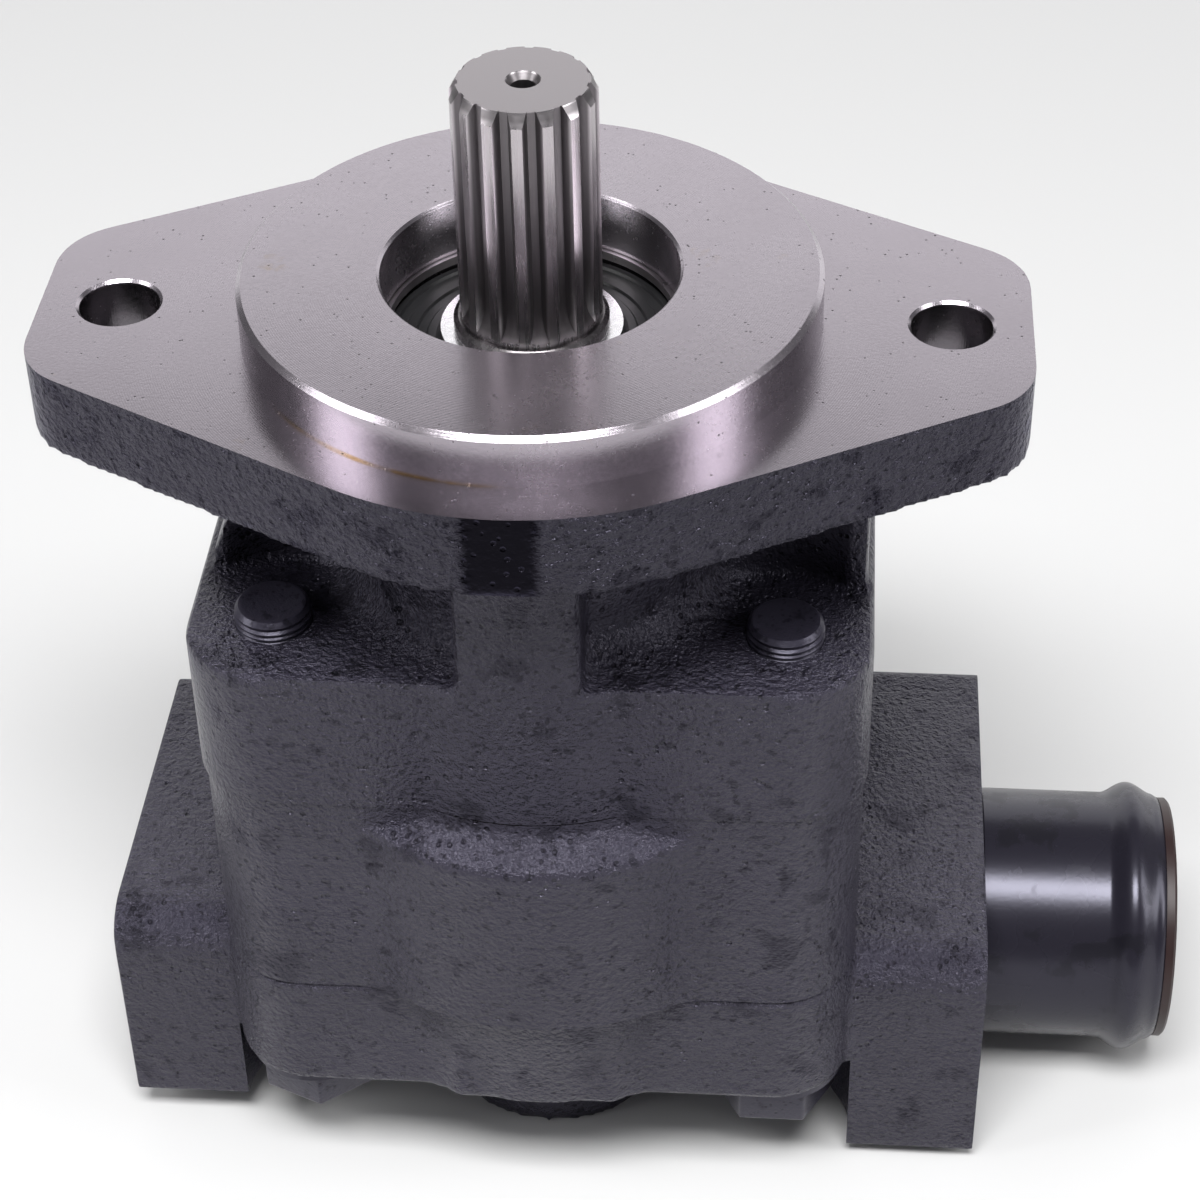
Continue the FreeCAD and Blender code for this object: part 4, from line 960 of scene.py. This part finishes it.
def make_camera():
    settings = bpy.context.scene.pump_stage
    azimuth, elevation, roll = settings.azimuth, settings.elevation, settings.roll
    back = Vector((math.sin(azimuth) * math.cos(elevation), -math.cos(azimuth) * math.cos(elevation),
                   math.sin(elevation)))
    level = Vector((math.cos(azimuth), math.sin(azimuth), 0))
    rise = back.cross(level)
    right = level * math.cos(roll) + rise * math.sin(roll)
    up = rise * math.cos(roll) - level * math.sin(roll)
    data = bpy.data.cameras.new("camera")
    data.lens = settings.lens
    data.sensor_width = 36.0
    data.clip_start = 0.01
    data.clip_end = 50.0
    camera = bpy.data.objects.new("camera", data)
    bpy.context.scene.collection.objects.link(camera)
    place = Vector(settings.target) + back * settings.distance
    camera.matrix_world = Matrix.Translation(place) @ Matrix((right, up, back)).transposed().to_4x4()
    bpy.context.scene.camera = camera


def make_stage():
    shell = bmesh.new()
    bmesh.ops.create_grid(shell, x_segments=1, y_segments=1, size=4000.0,
                          matrix=Matrix.Translation((0, 0, cad_low.z / MM)))
    as_piece("floor", shell, "pale_floor")
    middle = (cad_low + cad_high) / 2
    add_softbox("top_softbox", (0.0, -0.50, 1.0), middle, 0.7, 0.36, 22.0)
    add_softbox("left_softbox", (-0.95, -0.30, 0.45), middle, 0.35, 0.8, 6.5)
    add_softbox("right_softbox", (0.95, -0.20, 0.45), middle, 0.35, 0.8, 6.0)
    add_softbox("back_wall", (0.0, 1.15, 0.31), (0.0, 0.0, 0.31), 2.4, 1.13, 11.0)
    world = bpy.data.worlds.new("studio")
    world.use_nodes = True
    surroundings = world.node_tree.nodes["Background"]
    surroundings.inputs["Color"].default_value = (0.97, 0.96, 1.0, 1.0)
    surroundings.inputs["Strength"].default_value = 0.17
    bpy.context.scene.world = world
    bpy.context.scene.view_settings.view_transform = "Standard"
    make_camera()


# ------------------------------------------------------------------ operators

class PUMP_OT_finish_cad(bpy.types.Operator):
    """Give every carried-over CAD node its finish"""
    bl_idname = "pump.finish_cad"
    bl_label = "Finish CAD nodes"

    def execute(self, context):
        finish_cad_nodes()
        return {"FINISHED"}


class PUMP_OT_shaft_end_cover(bpy.types.Operator):
    """Cast and machine the flanged shaft end cover"""
    bl_idname = "pump.shaft_end_cover"
    bl_label = "Shaft end cover"

    def execute(self, context):
        make_shaft_end_cover()
        return {"FINISHED"}


class PUMP_OT_gear_housing(bpy.types.Operator):
    """Cast and machine the gear housing"""
    bl_idname = "pump.gear_housing"
    bl_label = "Gear housing"

    def execute(self, context):
        make_gear_housing()
        return {"FINISHED"}


class PUMP_OT_port_end_cover(bpy.types.Operator):
    """Cast and machine the port end cover with its two port blocks"""
    bl_idname = "pump.port_end_cover"
    bl_label = "Port end cover"

    def execute(self, context):
        make_port_end_cover()
        return {"FINISHED"}


class PUMP_OT_fasteners(bpy.types.Operator):
    """Make the through-bolts and their washers"""
    bl_idname = "pump.fasteners"
    bl_label = "Bolts and washers"

    def execute(self, context):
        make_bolts()
        make_washers()
        return {"FINISHED"}


class PUMP_OT_ports(bpy.types.Operator):
    """Make the beaded inlet tube and the two dust plugs"""
    bl_idname = "pump.ports"
    bl_label = "Tube and plugs"

    def execute(self, context):
        make_inlet_tube()
        tube_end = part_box("inlet_tube")[1].x / MM
        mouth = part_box("inlet_dust_plug")[1].x / MM
        make_plug("inlet_plug", "inlet_dust_plug", 22.85, mouth, -1, TUBE_AXIS, 24.7, mouth - tube_end)
        make_plug("outlet_plug", "outlet_dust_plug", 12.65, PAD_FACE_X, 1, PAD_AXIS)
        return {"FINISHED"}


class PUMP_OT_seal(bpy.types.Operator):
    """Make the ridged shaft seal"""
    bl_idname = "pump.seal"
    bl_label = "Shaft seal"

    def execute(self, context):
        make_shaft_seal()
        return {"FINISHED"}


class PUMP_OT_stage(bpy.types.Operator):
    """Set up the floor, lights and camera"""
    bl_idname = "pump.stage"
    bl_label = "Stage"

    def execute(self, context):
        make_stage()
        return {"FINISHED"}


OPERATORS = (PUMP_OT_finish_cad, PUMP_OT_shaft_end_cover, PUMP_OT_gear_housing, PUMP_OT_port_end_cover,
             PUMP_OT_fasteners, PUMP_OT_ports, PUMP_OT_seal, PUMP_OT_stage)
SETTINGS = (("pump_casting", PumpCastingSettings), ("pump_finish", PumpFinishSettings),
            ("pump_stage", PumpStageSettings))


class PUMP_PT_panel(bpy.types.Panel):
    """Lists the pump's build steps and settings"""
    bl_idname = "PUMP_PT_panel"
    bl_label = "Gear Pump"
    bl_space_type = "VIEW_3D"
    bl_region_type = "UI"
    bl_category = "Gear Pump"

    def draw(self, context):
        for name, group in SETTINGS:
            box = self.layout.box()
            for prop in group.__annotations__:
                box.prop(getattr(context.scene, name), prop)
        for operator in OPERATORS:
            self.layout.operator(operator.bl_idname)


def register():
    for name, group in SETTINGS:
        bpy.utils.register_class(group)
        setattr(bpy.types.Scene, name, bpy.props.PointerProperty(type=group))
    for operator in OPERATORS:
        bpy.utils.register_class(operator)
    bpy.utils.register_class(PUMP_PT_panel)


def unregister():
    bpy.utils.unregister_class(PUMP_PT_panel)
    for operator in reversed(OPERATORS):
        bpy.utils.unregister_class(operator)
    for name, group in reversed(SETTINGS):
        delattr(bpy.types.Scene, name)
        bpy.utils.unregister_class(group)


def main():
    register()
    for operator in OPERATORS:
        group, name = operator.bl_idname.split(".")
        getattr(getattr(bpy.ops, group), name)()


if __name__ == "__main__":
    main()
